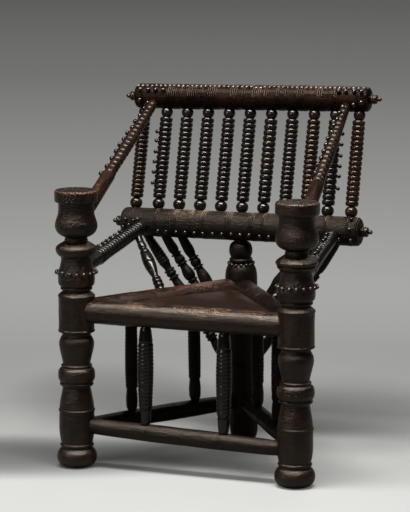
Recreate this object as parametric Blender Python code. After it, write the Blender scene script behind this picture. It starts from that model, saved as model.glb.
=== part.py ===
"""Turned great chair: three posts, a triangular board seat and a spindled back.

Metres, +Z up, +Y towards the back, +X to the right as seen from the front.
The origin is on the floor, under the middle of the chair's box.
"""
import math

import bmesh
import bpy
from mathutils import Matrix, Vector

for old in list(bpy.data.objects):
    bpy.data.objects.remove(old, do_unlink=True)

# Fit between neighbouring pieces
FIT_GAP = 0.0003
WELD = 0.000001
SHARP_ANGLE = math.radians(40)

# Plan: everything is measured back from the front posts' axes
FRONT_HALF_WIDTH = 0.325
BACK_RAIL_BACK = 0.463
CREST_BACK = 0.558
REAR_FOOT_BACK = 0.508
SPINDLE_HALF_WIDTH = 0.3335

# Heights: the seat and the stretchers from the floor, the rest from what is below
SEAT_RAIL_Z = 0.447
LOWER_ARM_ABOVE_SEAT = 0.108
UPPER_ARM_ABOVE_LOWER = 0.130
POST_ABOVE_UPPER_ARM = 0.105
BACK_RAIL_ABOVE_SEAT = 0.193
CREST_ABOVE_BACK_RAIL = 0.3695
STRETCHER_Z = 0.112
STRETCHER_LEFT_RISE = 0.0067
STRETCHER_RIGHT_FALL = 0.012

# Front posts
FRONT_BLOCK_R = 0.0507
CUP_RIM_R = 0.0614
BARREL_BELOW_STRETCHER = 0.012
BARREL_ABOVE_STRETCHER = 0.053
BLOCK_BELOW_RAIL = 0.050
BLOCK_ABOVE_RAIL = 0.045
ARM_BODY_BELOW = 0.026
ARM_BODY_ABOVE = 0.025
CUP_BELOW_ARM = 0.0305
POST_SIDES = 12

# Rear post: it leans from its foot up to the lower back rail
REAR_BLOCK_R = 0.0475
REAR_BLOCK_BELOW = 0.054
REAR_BLOCK_ABOVE = 0.041
REAR_TENON_R = 0.014
REAR_TENON_DEPTH = 0.022

# Seat rails and board
SEAT_RAIL_R = 0.034
SIDE_RAIL_FALL = 0.004
SIDE_RAIL_RISE = 0.0065
RAIL_SIDES = 16
SET_IN = 0.003
BOARD_THICK = 0.018
BOARD_DROP = 0.016
BOARD_LET_IN = 0.012
BOARD_POST_GAP = 0.004
BOARD_REAR_GAP = 0.024
BOARD_BLUNT = 0.004

# Stretchers
STRETCHER_R = 0.0248
STRETCHER_END_R = 0.021
STRETCHER_SIDES = 12

# Spindles under the seat
UNDER_FRONT_R = 0.0224
UNDER_SIDE_R = 0.0187
UNDER_TENON_R = 0.0105
UNDER_TENON_DEPTH = 0.012
UNDER_SIDES = 8

# Lower back rail and crest rail
BACK_RAIL_RISE = 0.008
BACK_RAIL_R = 0.0419
BACK_RAIL_PAST_SPINDLE = 0.0345
CREST_RISE = 0.017
CREST_R = 0.0372
CREST_PAST_SPINDLE = 0.0290
END_ROUND = 0.011

# Finials on the rail ends
BACK_FINIAL_R = 0.0147
BACK_FINIAL_LENGTH = 0.0345
CREST_FINIAL_R = 0.0137
CREST_FINIAL_LENGTH = 0.0345
FINIAL_STUB_R = 0.005
FINIAL_STUB = 0.010
FINIAL_SIDES = 8

# Back spindles
BEADS = 17
SPINDLE_BALL_R = 0.0185
SPINDLE_BEAD_R = 0.0192
SPINDLE_VALLEY_R = 0.0155
SPINDLE_TENON_R = 0.009
SPINDLE_TENON_DEPTH = 0.0145
SPINDLE_FOOT_BALL = 0.031
SPINDLE_HEAD_BALL = 0.024
SPINDLE_SWELL_SHARE = 0.03
SPINDLE_SIDES = 8

# Arms
UPPER_ARM_R = 0.0205
UPPER_ARM_HEAD_R = 0.0145
UPPER_ARM_DEPTH = 0.0115
LOWER_ARM_R = 0.0217
LOWER_ARM_DEPTH = 0.010
ARM_SIDES = 10

# Side spindles between the side rails and the lower arms
SIDE_SPINDLE_R = 0.0182
SIDE_SPINDLE_DEPTH = 0.010

# Back braces from the lower back rail down to the rear post
BRACE_R = 0.0176
BRACE_DEPTH = 0.0145
BRACE_SIDES = 6

# Places along the members, as shares
SPINDLE_PLACE_SHARES = (0.197, 0.394, 0.591, 0.786, 1.0)
UPPER_ARM_PLACE_SHARE = 0.888
LOWER_ARM_PLACE_SHARE = 0.873
UNDER_FRONT_PLACE_SHARES = (0.321, 0.679)
UNDER_SIDE_PLACE_SHARES = (0.32, 0.70)
SIDE_SPINDLE_RAIL_SHARE = 0.525
SIDE_SPINDLE_ARM_SHARE = 0.82
BRACE_TOP_SHARES = (0.961, 0.787, 0.622)
BRACE_FOOT_SHARES = {"left": (0.344, 0.523, 0.620), "right": (0.412, 0.523, 0.620)}

# Turned outlines: shares of a zone's length and of its radius, from the floor up
FOOT_SHARES = (
    (0, 0.75), (0.10, 0.966), (0.19, 1.07), (0.285, 1.118), (0.48, 0.986), (0.558, 0.868),
    (0.62, 0.947), (0.70, 0.88))
BARREL_SHARES = ((0, 0.986), (0.90, 0.98), (0.93, 1.016), (1, 1.016))
LOWER_TURNING_SHARES = (
    (0.274, 0.769), (0.297, 0.939), (0.345, 0.93), (0.39, 1.02), (0.427, 1.035),
    (0.465, 1.02), (0.504, 0.93), (0.567, 0.757), (0.70, 0.89), (0.815, 0.972),
    (0.931, 0.793), (0.964, 1.022), (0.987, 1.022))
BLOCK_SHARES = ((0, 1), (0.955, 1), (1, 1.035))
UPPER_TURNING_SHARES = ((0.348, 0.732), (0.48, 0.87), (0.75, 0.85))
ARM_BODY_SHARES = ((0, 1.008), (0.333, 1.008), (0.45, 0.97), (0.80, 0.97), (1, 0.888))
ARM_NECK_SHARES = (
    (0.268, 0.819), (0.44, 1.07), (0.616, 1.15), (0.75, 1.02), (0.846, 0.671),
    (0.926, 0.615))
CUP_SHARES = (
    (0, 0.508), (0.09, 0.78), (0.16, 0.92), (0.252, 0.977), (0.35, 0.955), (0.45, 0.88),
    (0.542, 0.826), (0.730, 0.826), (0.80, 1), (1, 1))
REAR_FOOT_SHARES = (
    (0, 0.70), (0.03, 0.83), (0.075, 0.874), (0.275, 0.916), (0.55, 0.93), (0.567, 0.985),
    (0.60, 0.985), (0.617, 0.95))
REAR_HEAD_SHARES = (
    (0.20, 0.937), (0.345, 0.737), (0.393, 0.638), (0.466, 0.722), (0.544, 0.621),
    (0.62, 0.69), (0.723, 0.722), (0.82, 0.70), (0.93, 0.56), (1, 0.379))
STRETCHER_SHARES = ((0.12, 0.90), (0.30, 0.98), (0.50, 1), (0.70, 0.98), (0.88, 0.90))
END_ROUND_SHARES = ((0, 0.70), (0.15, 0.84), (0.5, 0.95), (1, 1))
BACK_FINIAL_SHARES = (
    (0, 0.88), (0.05, 1), (0.54, 1), (0.62, 0.34), (0.71, 0.45), (0.90, 0.42), (1, 0.18))
CREST_FINIAL_SHARES = (
    (0, 0.90), (0.05, 1), (0.56, 1), (0.63, 0.38), (0.72, 0.48), (0.91, 0.42), (1, 0.18))
SPINDLE_BALL_SHARES = ((0.02, 0.58), (0.16, 0.86), (0.42, 1), (0.72, 0.93))
UNDER_FRONT_SHARES = (
    (0.01, 0.58), (0.06, 0.69), (0.13, 0.78), (0.165, 0.78), (0.20, 0.94), (0.50, 1),
    (0.76, 0.965), (0.80, 0.87), (0.84, 0.94), (0.90, 0.965), (0.95, 0.90), (0.99, 0.60))
UNDER_SIDE_SHARES = (
    (0.01, 0.66), (0.04, 0.86), (0.10, 0.98), (0.14, 0.99), (0.20, 0.86), (0.232, 0.80),
    (0.25, 0.92), (0.52, 1), (0.84, 0.94), (0.90, 0.70), (0.955, 0.87), (0.99, 0.82))
SIDE_SPINDLE_SHARES = (
    (0.01, 0.66), (0.07, 0.66), (0.10, 0.76), (0.22, 0.72), (0.255, 0.58), (0.31, 0.65),
    (0.37, 0.80), (0.43, 0.93), (0.50, 1), (0.60, 0.945), (0.68, 0.80), (0.74, 0.58),
    (0.99, 0.63))
BRACE_HALF_SHARES = (
    (0, 0.63), (0.10, 0.68), (0.225, 0.86), (0.26, 0.71), (0.305, 0.88), (0.345, 0.74),
    (0.42, 0.95), (0.50, 1))
UPPER_ARM_SHARES = ((0.15, 1), (0.30, 0.93), (0.60, 0.6), (0.85, 0.2))
LOWER_ARM_SHARES = ((0.15, 0.97), (0.40, 1), (0.70, 0.98), (0.92, 0.93))

# Wood colours
DARK_WOOD = (0.030, 0.017, 0.011, 1.0)
BROWN_WOOD = (0.075, 0.034, 0.020, 1.0)
WORN_WOOD = (0.110, 0.048, 0.027, 1.0)

# Worked out: the front posts' place centres the chair's box; levels and half lengths follow
FRONT_Y = -(CREST_BACK + CREST_R - CUP_RIM_R) / 2
LOWER_ARM_Z = SEAT_RAIL_Z + LOWER_ARM_ABOVE_SEAT
UPPER_ARM_Z = LOWER_ARM_Z + UPPER_ARM_ABOVE_LOWER
FRONT_POST_TOP = UPPER_ARM_Z + POST_ABOVE_UPPER_ARM
BACK_RAIL_Z = SEAT_RAIL_Z + BACK_RAIL_ABOVE_SEAT
CREST_Z = BACK_RAIL_Z + CREST_ABOVE_BACK_RAIL
BACK_RAIL_HALF = SPINDLE_HALF_WIDTH + BACK_RAIL_PAST_SPINDLE
CREST_HALF = SPINDLE_HALF_WIDTH + CREST_PAST_SPINDLE
SIDES = (("left", -1), ("right", 1))
UP = Vector((0, 0, 1))
BACKWARD = Vector((0, 1, 0))

chair = bpy.data.objects.new("chair", None)
bpy.context.scene.collection.objects.link(chair)
bars = {}


def wood(name, colour, roughness):
    """A Principled material for one piece."""
    material = bpy.data.materials.new(name + "_wood")
    material.use_nodes = True
    shader = material.node_tree.nodes["Principled BSDF"]
    shader.inputs["Base Color"].default_value = colour
    shader.inputs["Roughness"].default_value = roughness
    shader.inputs["Metallic"].default_value = 0.0
    material.diffuse_color = colour
    return material


def zone(low, high, radius, shares):
    """Stations (height, radius) of one zone of a turning."""
    return [(low + (high - low) * along, radius * across) for along, across in shares]


def axis_frame(start, end):
    """World matrix whose origin is start and whose Z axis points to end."""
    z_axis = (end - start).normalized()
    reference = BACKWARD if abs(z_axis.z) > abs(z_axis.x) + abs(z_axis.y) else UP
    x_axis = reference.cross(z_axis).normalized()
    y_axis = z_axis.cross(x_axis)
    rotation = Matrix((x_axis, y_axis, z_axis)).transposed()
    return Matrix.Translation(start) @ rotation.to_4x4()


def close_holes(bm):
    """Fill every open rim with one face and turn all faces outward."""
    bmesh.ops.holes_fill(bm, edges=[edge for edge in bm.edges if edge.is_boundary], sides=0)
    bmesh.ops.recalc_face_normals(bm, faces=bm.faces)


def turned_mesh(name, stations, sides, frame, trims, trim_shift):
    """Spin an outline about local Z, then cut it back to each trim plane."""
    bm = bmesh.new()
    outline = [bm.verts.new((radius, 0, height)) for height, radius in stations]
    edges = [bm.edges.new(pair) for pair in zip(outline, outline[1:])]
    bmesh.ops.spin(
        bm, geom=outline + edges, cent=(0, 0, 0), axis=(0, 0, 1),
        angle=2 * math.pi, steps=sides, use_merge=True)
    bmesh.ops.remove_doubles(bm, verts=bm.verts, dist=WELD)
    close_holes(bm)
    to_local = frame.inverted()
    for point, normal in trims:
        place = to_local @ (point + normal * trim_shift)
        direction = to_local.to_3x3() @ normal
        bmesh.ops.bisect_plane(
            bm, geom=bm.verts[:] + bm.edges[:] + bm.faces[:], dist=WELD,
            plane_co=place, plane_no=direction, clear_outer=True)
        close_holes(bm)
    mesh = bpy.data.meshes.new(name)
    bm.to_mesh(mesh)
    bm.free()
    return mesh


def add_object(name, mesh, frame, material):
    """Put a mesh into the scene under the chair, at its frame."""
    mesh.shade_smooth()
    mesh.set_sharp_from_angle(angle=SHARP_ANGLE)
    piece = bpy.data.objects.new(name, mesh)
    bpy.context.scene.collection.objects.link(piece)
    piece.parent = chair
    piece.location = frame.to_translation()
    piece.rotation_euler = frame.to_euler()
    if material is None:
        piece.hide_render = True
        piece.display_type = "WIRE"
    else:
        mesh.materials.append(material)
    return piece


def bar(name, start, end, stations, sides, material, trims=()):
    """A turned member; its stations are distances from start, with radii."""
    frame = axis_frame(start, end)
    bars[name] = (start, end, stations, sides, trims)
    mesh = turned_mesh(name, stations, sides, frame, trims, -FIT_GAP / 2)
    return add_object(name, mesh, frame, material)


def radius_at(stations, height):
    """Radius of an outline at a height between its stations."""
    for (low, low_r), (high, high_r) in zip(stations, stations[1:]):
        if low <= height <= high and high > low:
            return low_r + (high_r - low_r) * (height - low) / (high - low)
    return stations[-1][1]


def socket(carrier, member, at_end, reach):
    """Sink a member's end into its carrier, with the fit's gap all round.

    The cutter is the member's own outline, up to reach from its end point.
    """
    start, end, stations, sides, trims = bars[member]
    length = (end - start).length
    low, high = stations[0][0], reach
    if at_end:
        low, high = length - reach, stations[-1][0]
    inner = [station for station in stations if low < station[0] < high]
    outline = [(low, radius_at(stations, low))] + inner + [(high, radius_at(stations, high))]
    grown = [(height, radius + FIT_GAP) for height, radius in outline]
    if at_end:
        grown[-1] = (grown[-1][0] + FIT_GAP, grown[-1][1])
    else:
        grown[0] = (grown[0][0] - FIT_GAP, grown[0][1])
    name = "socket_" + carrier.name + "_" + member
    frame = axis_frame(start, end)
    mesh = turned_mesh(name, grown, sides, frame, trims, FIT_GAP / 2)
    subtract(carrier, add_object(name, mesh, frame, None))


def subtract(carrier, cutter):
    """Exact Boolean difference, kept as a modifier."""
    cut = carrier.modifiers.new(cutter.name, "BOOLEAN")
    cut.operation = "DIFFERENCE"
    cut.solver = "EXACT"
    cut.object = cutter


def level(vector):
    """The horizontal direction of a vector."""
    return Vector((vector.x, vector.y, 0)).normalized()


def seat_distance(carrier_r, member_r):
    """Distance from a carrier's axis at which a member's whole end rim is sunk."""
    return math.sqrt(max(carrier_r ** 2 - member_r ** 2, SET_IN ** 2)) - SET_IN


def mitres(corner, own, other):
    """Trim plane at a corner that two bars share; own and other are directions."""
    return corner, (level(other) - level(own)).normalized()


def front_corner(side, height):
    """Point on a front post's axis."""
    return Vector((side * FRONT_HALF_WIDTH, FRONT_Y, height))


def back_rail_point(x):
    """Point on the lower back rail's axis."""
    return Vector((x, FRONT_Y + BACK_RAIL_BACK, BACK_RAIL_Z + BACK_RAIL_RISE * x / (2 * BACK_RAIL_HALF)))


def crest_point(x):
    """Point on the crest rail's axis."""
    return Vector((x, FRONT_Y + CREST_BACK, CREST_Z + CREST_RISE * x / (2 * CREST_HALF)))


def rear_post_point(height):
    """Point on the rear post's leaning axis."""
    lean = (BACK_RAIL_BACK - REAR_FOOT_BACK) / BACK_RAIL_Z
    return Vector((0, FRONT_Y + REAR_FOOT_BACK + lean * height, height))


def make_front_post(label, side):
    """Front post from its foot to its cup, standing upright."""
    barrel_low = STRETCHER_Z - BARREL_BELOW_STRETCHER
    barrel_high = STRETCHER_Z + BARREL_ABOVE_STRETCHER
    block_low = SEAT_RAIL_Z - BLOCK_BELOW_RAIL
    block_high = SEAT_RAIL_Z + BLOCK_ABOVE_RAIL
    arm_low = LOWER_ARM_Z - ARM_BODY_BELOW
    arm_high = LOWER_ARM_Z + ARM_BODY_ABOVE
    cup_low = UPPER_ARM_Z - CUP_BELOW_ARM
    stations = zone(0, barrel_low, FRONT_BLOCK_R, FOOT_SHARES)
    stations += zone(barrel_low, barrel_high, FRONT_BLOCK_R, BARREL_SHARES)
    stations += zone(barrel_high, block_low, FRONT_BLOCK_R, LOWER_TURNING_SHARES)
    stations += zone(block_low, block_high, FRONT_BLOCK_R, BLOCK_SHARES)
    stations += zone(block_high, arm_low, FRONT_BLOCK_R, UPPER_TURNING_SHARES)
    stations += zone(arm_low, arm_high, FRONT_BLOCK_R, ARM_BODY_SHARES)
    stations += zone(arm_high, cup_low, FRONT_BLOCK_R, ARM_NECK_SHARES)
    stations += zone(cup_low, FRONT_POST_TOP, CUP_RIM_R, CUP_SHARES)
    name = "post_front_" + label
    foot = front_corner(side, 0)
    top = front_corner(side, FRONT_POST_TOP)
    return bar(name, foot, top, stations, POST_SIDES, wood(name, DARK_WOOD, 0.30))


def make_rear_post():
    """Rear post; its axis starts under the floor and its foot is cut level."""
    foot = rear_post_point(0)
    top = rear_post_point(BACK_RAIL_Z)
    length = (top - foot).length
    stretch = length / BACK_RAIL_Z
    block_low = (SEAT_RAIL_Z - REAR_BLOCK_BELOW) * stretch
    block_high = (SEAT_RAIL_Z + REAR_BLOCK_ABOVE) * stretch
    under_rail = length - BACK_RAIL_R - FIT_GAP
    under_floor = REAR_BLOCK_R / 2
    stations = [(-under_floor, REAR_BLOCK_R * REAR_FOOT_SHARES[0][1])]
    stations += zone(0, block_low, REAR_BLOCK_R, REAR_FOOT_SHARES)
    stations += [(block_low, REAR_BLOCK_R), (block_high, REAR_BLOCK_R)]
    stations += zone(block_high, under_rail, REAR_BLOCK_R, REAR_HEAD_SHARES)
    stations += [(under_rail, REAR_TENON_R)]
    stations += [(under_rail + REAR_TENON_DEPTH, REAR_TENON_R)]
    floor = (Vector((0, 0, -FIT_GAP / 2)), -UP)
    material = wood("post_rear", DARK_WOOD, 0.32)
    return bar("post_rear", foot, top, stations, POST_SIDES, material, (floor,))


def make_seat_rails():
    """Three rails between the posts, mitred against each other inside them."""
    front_bite = seat_distance(FRONT_BLOCK_R, SEAT_RAIL_R)
    rear_bite = seat_distance(REAR_BLOCK_R, SEAT_RAIL_R)
    rear = rear_post_point(SEAT_RAIL_Z + SIDE_RAIL_RISE)
    rails = {}
    trims = []
    for label, side in SIDES:
        corner = front_corner(side, SEAT_RAIL_Z - SIDE_RAIL_FALL)
        run = rear - corner
        across = Vector((-side, 0, 0))
        trims.append(mitres(corner, across, run))
        own = (mitres(corner, run, across), (rear, Vector((-side, 0, 0))))
        ends = [(front_bite, SEAT_RAIL_R), (run.length - rear_bite, SEAT_RAIL_R)]
        name = "seat_rail_" + label
        material = wood(name, BROWN_WOOD, 0.35)
        rails[label] = bar(name, corner, rear, ends, RAIL_SIDES, material, own)
    left = front_corner(-1, SEAT_RAIL_Z)
    right = front_corner(1, SEAT_RAIL_Z)
    ends = [(front_bite, SEAT_RAIL_R), ((right - left).length - front_bite, SEAT_RAIL_R)]
    material = wood("seat_rail_front", WORN_WOOD, 0.35)
    rails["front"] = bar("seat_rail_front", left, right, ends, RAIL_SIDES, material, tuple(trims))
    return rails


def corner_cut(corner, ahead, behind, inset, cut):
    """Two points that cut a corner off: on the edge ahead and on the edge behind.

    The cut clears the post and is always a little past the edges' own crossing.
    """
    middle = (ahead + behind).normalized()
    across = (ahead - middle * ahead.dot(middle)).normalized()
    half_angle = middle.angle(ahead)
    crossing = inset / math.sin(half_angle)
    reach = max(cut, crossing + BOARD_BLUNT)
    width = (reach - crossing) * math.tan(half_angle)
    return corner + middle * reach + across * width, corner + middle * reach - across * width


def make_board(name, grow, material):
    """The seat board, or the board grown by the fit for its grooves."""
    inset = SEAT_RAIL_R - BOARD_LET_IN - grow
    top = SEAT_RAIL_Z + SEAT_RAIL_R - BOARD_DROP + grow
    left = front_corner(-1, 0)
    right = front_corner(1, 0)
    rear = level_point(rear_post_point(SEAT_RAIL_Z + SIDE_RAIL_RISE))
    front_cut = FRONT_BLOCK_R + BOARD_POST_GAP - grow
    rear_cut = REAR_BLOCK_R + BOARD_REAR_GAP - grow
    outline = []
    for corner, ahead, behind, cut in (
            (left, right, rear, front_cut), (right, rear, left, front_cut),
            (rear, left, right, rear_cut)):
        forward = (ahead - corner).normalized()
        back = (behind - corner).normalized()
        leaving, arriving = corner_cut(corner, forward, back, inset, cut)
        outline += [arriving, leaving]
    bm = bmesh.new()
    face = bm.faces.new([bm.verts.new((point.x, point.y, 0)) for point in outline])
    raised = bmesh.ops.extrude_face_region(bm, geom=[face])
    lifted = [item for item in raised["geom"] if isinstance(item, bmesh.types.BMVert)]
    bmesh.ops.translate(bm, verts=lifted, vec=(0, 0, BOARD_THICK + 2 * grow))
    bmesh.ops.recalc_face_normals(bm, faces=bm.faces)
    mesh = bpy.data.meshes.new(name)
    bm.to_mesh(mesh)
    bm.free()
    underside = top - BOARD_THICK - 2 * grow
    return add_object(name, mesh, Matrix.Translation((0, 0, underside)), material)


def level_point(point):
    """A point dropped to the floor."""
    return Vector((point.x, point.y, 0))


def make_stretchers():
    """Three low bars between the posts."""
    front_bite = seat_distance(FRONT_BLOCK_R, STRETCHER_END_R)
    rear_bite = seat_distance(REAR_BLOCK_R * REAR_FOOT_SHARES[3][1], STRETCHER_END_R)
    rear = rear_post_point(STRETCHER_Z)
    stretchers = {}
    trims = []
    for label, side in SIDES:
        corner = front_corner(side, STRETCHER_Z)
        run = rear - corner
        across = Vector((-side, 0, 0))
        trims.append(mitres(corner, across, run))
        own = (mitres(corner, run, across), (rear, Vector((-side, 0, 0))))
        name = "stretcher_" + label
        stations = stretcher_stations(front_bite, run.length - rear_bite)
        material = wood(name, DARK_WOOD, 0.34)
        stretchers[label] = bar(name, corner, rear, stations, STRETCHER_SIDES, material, own)
    left = front_corner(-1, STRETCHER_Z + STRETCHER_LEFT_RISE)
    right = front_corner(1, STRETCHER_Z - STRETCHER_RIGHT_FALL)
    stations = stretcher_stations(front_bite, (right - left).length - front_bite)
    material = wood("stretcher_front", DARK_WOOD, 0.30)
    stretchers["front"] = bar(
        "stretcher_front", left, right, stations, STRETCHER_SIDES, material, tuple(trims))
    return stretchers


def stretcher_stations(low, high):
    """A stretcher's outline: straight ends, slightly fuller in the middle."""
    straight = 2 * STRETCHER_END_R
    stations = [(low, STRETCHER_END_R), (low + straight, STRETCHER_END_R)]
    stations += [
        (along, max(radius, STRETCHER_END_R))
        for along, radius in zone(low, high, STRETCHER_R, STRETCHER_SHARES)
        if low + straight < along < high - straight]
    return stations + [(high - straight, STRETCHER_END_R), (high, STRETCHER_END_R)]


def make_end_rail(name, point_at, half, radius, colour):
    """Lower back rail or crest rail: a straight bar with rounded ends."""
    left = point_at(-half)
    right = point_at(half)
    length = (right - left).length
    stations = zone(0, END_ROUND, radius, END_ROUND_SHARES)
    stations += [(length - along, across) for along, across in reversed(stations)]
    return bar(name, left, right, stations, RAIL_SIDES, wood(name, colour, 0.33))


def make_finial(name, rail, rail_end, outward, radius, length, shares):
    """Small disc and ball on a rail's end, on a stub let into the rail."""
    start = rail_end - outward * FINIAL_STUB
    tip = rail_end + outward * (FIT_GAP + length)
    stations = [(0, FINIAL_STUB_R), (FINIAL_STUB + FIT_GAP, FINIAL_STUB_R)]
    stations += zone(FINIAL_STUB + FIT_GAP, FINIAL_STUB + FIT_GAP + length, radius, shares)
    bar(name, start, tip, stations, FINIAL_SIDES, wood(name, DARK_WOOD, 0.30))
    socket(rail, name, False, FINIAL_STUB + FIT_GAP / 2)


def make_finials(back_rail, crest):
    """A finial on each end of both back rails."""
    for label, side in SIDES:
        middle, rail_end = back_rail_point(0), back_rail_point(side * BACK_RAIL_HALF)
        make_finial(
            "finial_rail_" + label, back_rail, rail_end, (rail_end - middle).normalized(),
            BACK_FINIAL_R, BACK_FINIAL_LENGTH, BACK_FINIAL_SHARES)
        middle, rail_end = crest_point(0), crest_point(side * CREST_HALF)
        make_finial(
            "finial_crest_" + label, crest, rail_end, (rail_end - middle).normalized(),
            CREST_FINIAL_R, CREST_FINIAL_LENGTH, CREST_FINIAL_SHARES)


def spindle_stations(length):
    """Back spindle: tenon, ball, beads, ball, tenon, from rail axis to crest axis."""
    low = BACK_RAIL_R + FIT_GAP
    high = length - CREST_R - FIT_GAP
    bead_low = low + SPINDLE_FOOT_BALL
    bead_high = high - SPINDLE_HEAD_BALL
    pitch = (bead_high - bead_low) / BEADS
    stations = [(BACK_RAIL_R - SPINDLE_TENON_DEPTH, SPINDLE_TENON_R), (low, SPINDLE_TENON_R)]
    stations += zone(low, bead_low, SPINDLE_BALL_R, SPINDLE_BALL_SHARES)
    for count in range(BEADS):
        swell = 1 + SPINDLE_SWELL_SHARE * math.sin(math.pi * (count + 0.5) / BEADS)
        stations.append((bead_low + pitch * count, SPINDLE_VALLEY_R))
        stations.append((bead_low + pitch * (count + 0.5), SPINDLE_BEAD_R * swell))
    stations.append((bead_high, SPINDLE_VALLEY_R))
    ball = [(1 - along, across) for along, across in reversed(SPINDLE_BALL_SHARES)]
    stations += zone(bead_high, high, SPINDLE_BALL_R, ball)
    return stations + [
        (high, SPINDLE_TENON_R), (length - CREST_R + SPINDLE_TENON_DEPTH, SPINDLE_TENON_R)]


def make_back_spindles(back_rail, crest):
    """Beaded spindles between the two rails; the outer pair stands a little apart."""
    places = [-share for share in reversed(SPINDLE_PLACE_SHARES)] + [0]
    places += SPINDLE_PLACE_SHARES
    for count, place in enumerate(places, start=1):
        foot = back_rail_point(place * SPINDLE_HALF_WIDTH)
        head = crest_point(place * SPINDLE_HALF_WIDTH)
        name = "back_spindle_%02d" % count
        stations = spindle_stations((head - foot).length)
        last = count == len(places)
        material = wood(name, BROWN_WOOD if last else DARK_WOOD, 0.32)
        bar(name, foot, head, stations, SPINDLE_SIDES, material)
        socket(back_rail, name, False, BACK_RAIL_R + SPINDLE_BALL_R)
        socket(crest, name, True, CREST_R + SPINDLE_BALL_R)


def make_arms(label, side, post, back_rail, crest):
    """Upper and lower arm of one side."""
    slack = 2 * UPPER_ARM_R
    start = front_corner(side, UPPER_ARM_Z)
    end = crest_point(side * UPPER_ARM_PLACE_SHARE * SPINDLE_HALF_WIDTH)
    length = (end - start).length
    low = CUP_RIM_R - UPPER_ARM_DEPTH
    high = length - CREST_R + UPPER_ARM_DEPTH
    stations = [(low, UPPER_ARM_R)]
    for along, across in UPPER_ARM_SHARES:
        radius = UPPER_ARM_HEAD_R + (UPPER_ARM_R - UPPER_ARM_HEAD_R) * across
        stations.append((low + (high - low) * along, radius))
    stations += [(high - slack, UPPER_ARM_HEAD_R), (high, UPPER_ARM_HEAD_R)]
    name = "upper_arm_" + label
    bar(name, start, end, stations, ARM_SIDES, wood(name, BROWN_WOOD, 0.30))
    socket(post, name, False, CUP_RIM_R + slack)
    socket(crest, name, True, CREST_R + slack)
    start = front_corner(side, LOWER_ARM_Z)
    end = back_rail_point(side * LOWER_ARM_PLACE_SHARE * SPINDLE_HALF_WIDTH)
    length = (end - start).length
    low = FRONT_BLOCK_R - LOWER_ARM_DEPTH
    high = length - BACK_RAIL_R + LOWER_ARM_DEPTH
    stations = [(low, LOWER_ARM_R * LOWER_ARM_SHARES[0][1])]
    stations += zone(low, high, LOWER_ARM_R, LOWER_ARM_SHARES)
    stations += [(high, LOWER_ARM_R * LOWER_ARM_SHARES[-1][1])]
    name = "lower_arm_" + label
    arm = bar(name, start, end, stations, ARM_SIDES, wood(name, DARK_WOOD, 0.32))
    socket(post, name, False, FRONT_BLOCK_R + slack)
    socket(back_rail, name, True, BACK_RAIL_R + slack)
    return arm


def tenoned_spindle(name, start, end, outline, radii, tenon_r, depth, sides, colour):
    """A spindle whose thinner tenons go into the bars at both of its ends.

    radii holds the radius of the bar at the start, of the bar at the end and
    of the spindle itself.
    """
    start_r, end_r, own_r = radii
    length = (end - start).length
    low = start_r + FIT_GAP
    high = length - end_r - FIT_GAP
    stations = [(start_r - depth, tenon_r), (low, tenon_r)]
    stations += zone(low, high, own_r, outline)
    stations += [(high, tenon_r), (length - end_r + depth, tenon_r)]
    return bar(name, start, end, stations, sides, wood(name, colour, 0.34))


def point_between(member, share):
    """Point on a member's axis at a share of its length."""
    start, end = bars[member][0], bars[member][1]
    return start.lerp(end, share)


def make_under_spindles(rails, stretchers):
    """Two spindles on each side of the triangle, from stretcher up to seat rail."""
    for label in ("front", "left", "right"):
        front = label == "front"
        places = UNDER_FRONT_PLACE_SHARES if front else UNDER_SIDE_PLACE_SHARES
        outline = UNDER_FRONT_SHARES if front else UNDER_SIDE_SHARES
        own_r = UNDER_FRONT_R if front else UNDER_SIDE_R
        for count, share in enumerate(places, start=1):
            name = "under_spindle_%s_%d" % (label, count)
            foot = point_between("stretcher_" + label, share)
            head = point_between("seat_rail_" + label, share)
            radii = (STRETCHER_R, SEAT_RAIL_R, own_r)
            tenoned_spindle(
                name, foot, head, outline, radii, UNDER_TENON_R, UNDER_TENON_DEPTH,
                UNDER_SIDES, DARK_WOOD)
            socket(stretchers[label], name, False, STRETCHER_R + UNDER_TENON_R)
            socket(rails[label], name, True, SEAT_RAIL_R + UNDER_TENON_R)


def make_side_spindle(label, rail, arm):
    """Slanting spindle from a side rail up to the lower arm."""
    name = "side_spindle_" + label
    foot = point_between("seat_rail_" + label, SIDE_SPINDLE_RAIL_SHARE)
    head = point_between("lower_arm_" + label, SIDE_SPINDLE_ARM_SHARE)
    low = SEAT_RAIL_R - SIDE_SPINDLE_DEPTH
    high = (head - foot).length - LOWER_ARM_R + SIDE_SPINDLE_DEPTH
    stations = [(low, SIDE_SPINDLE_R * SIDE_SPINDLE_SHARES[0][1])]
    stations += zone(SEAT_RAIL_R, high, SIDE_SPINDLE_R, SIDE_SPINDLE_SHARES)
    stations += [(high, SIDE_SPINDLE_R * SIDE_SPINDLE_SHARES[-1][1])]
    bar(name, foot, head, stations, UNDER_SIDES, wood(name, WORN_WOOD, 0.36))
    socket(rail, name, False, 2 * SEAT_RAIL_R)
    socket(arm, name, True, 3 * LOWER_ARM_R)


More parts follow.
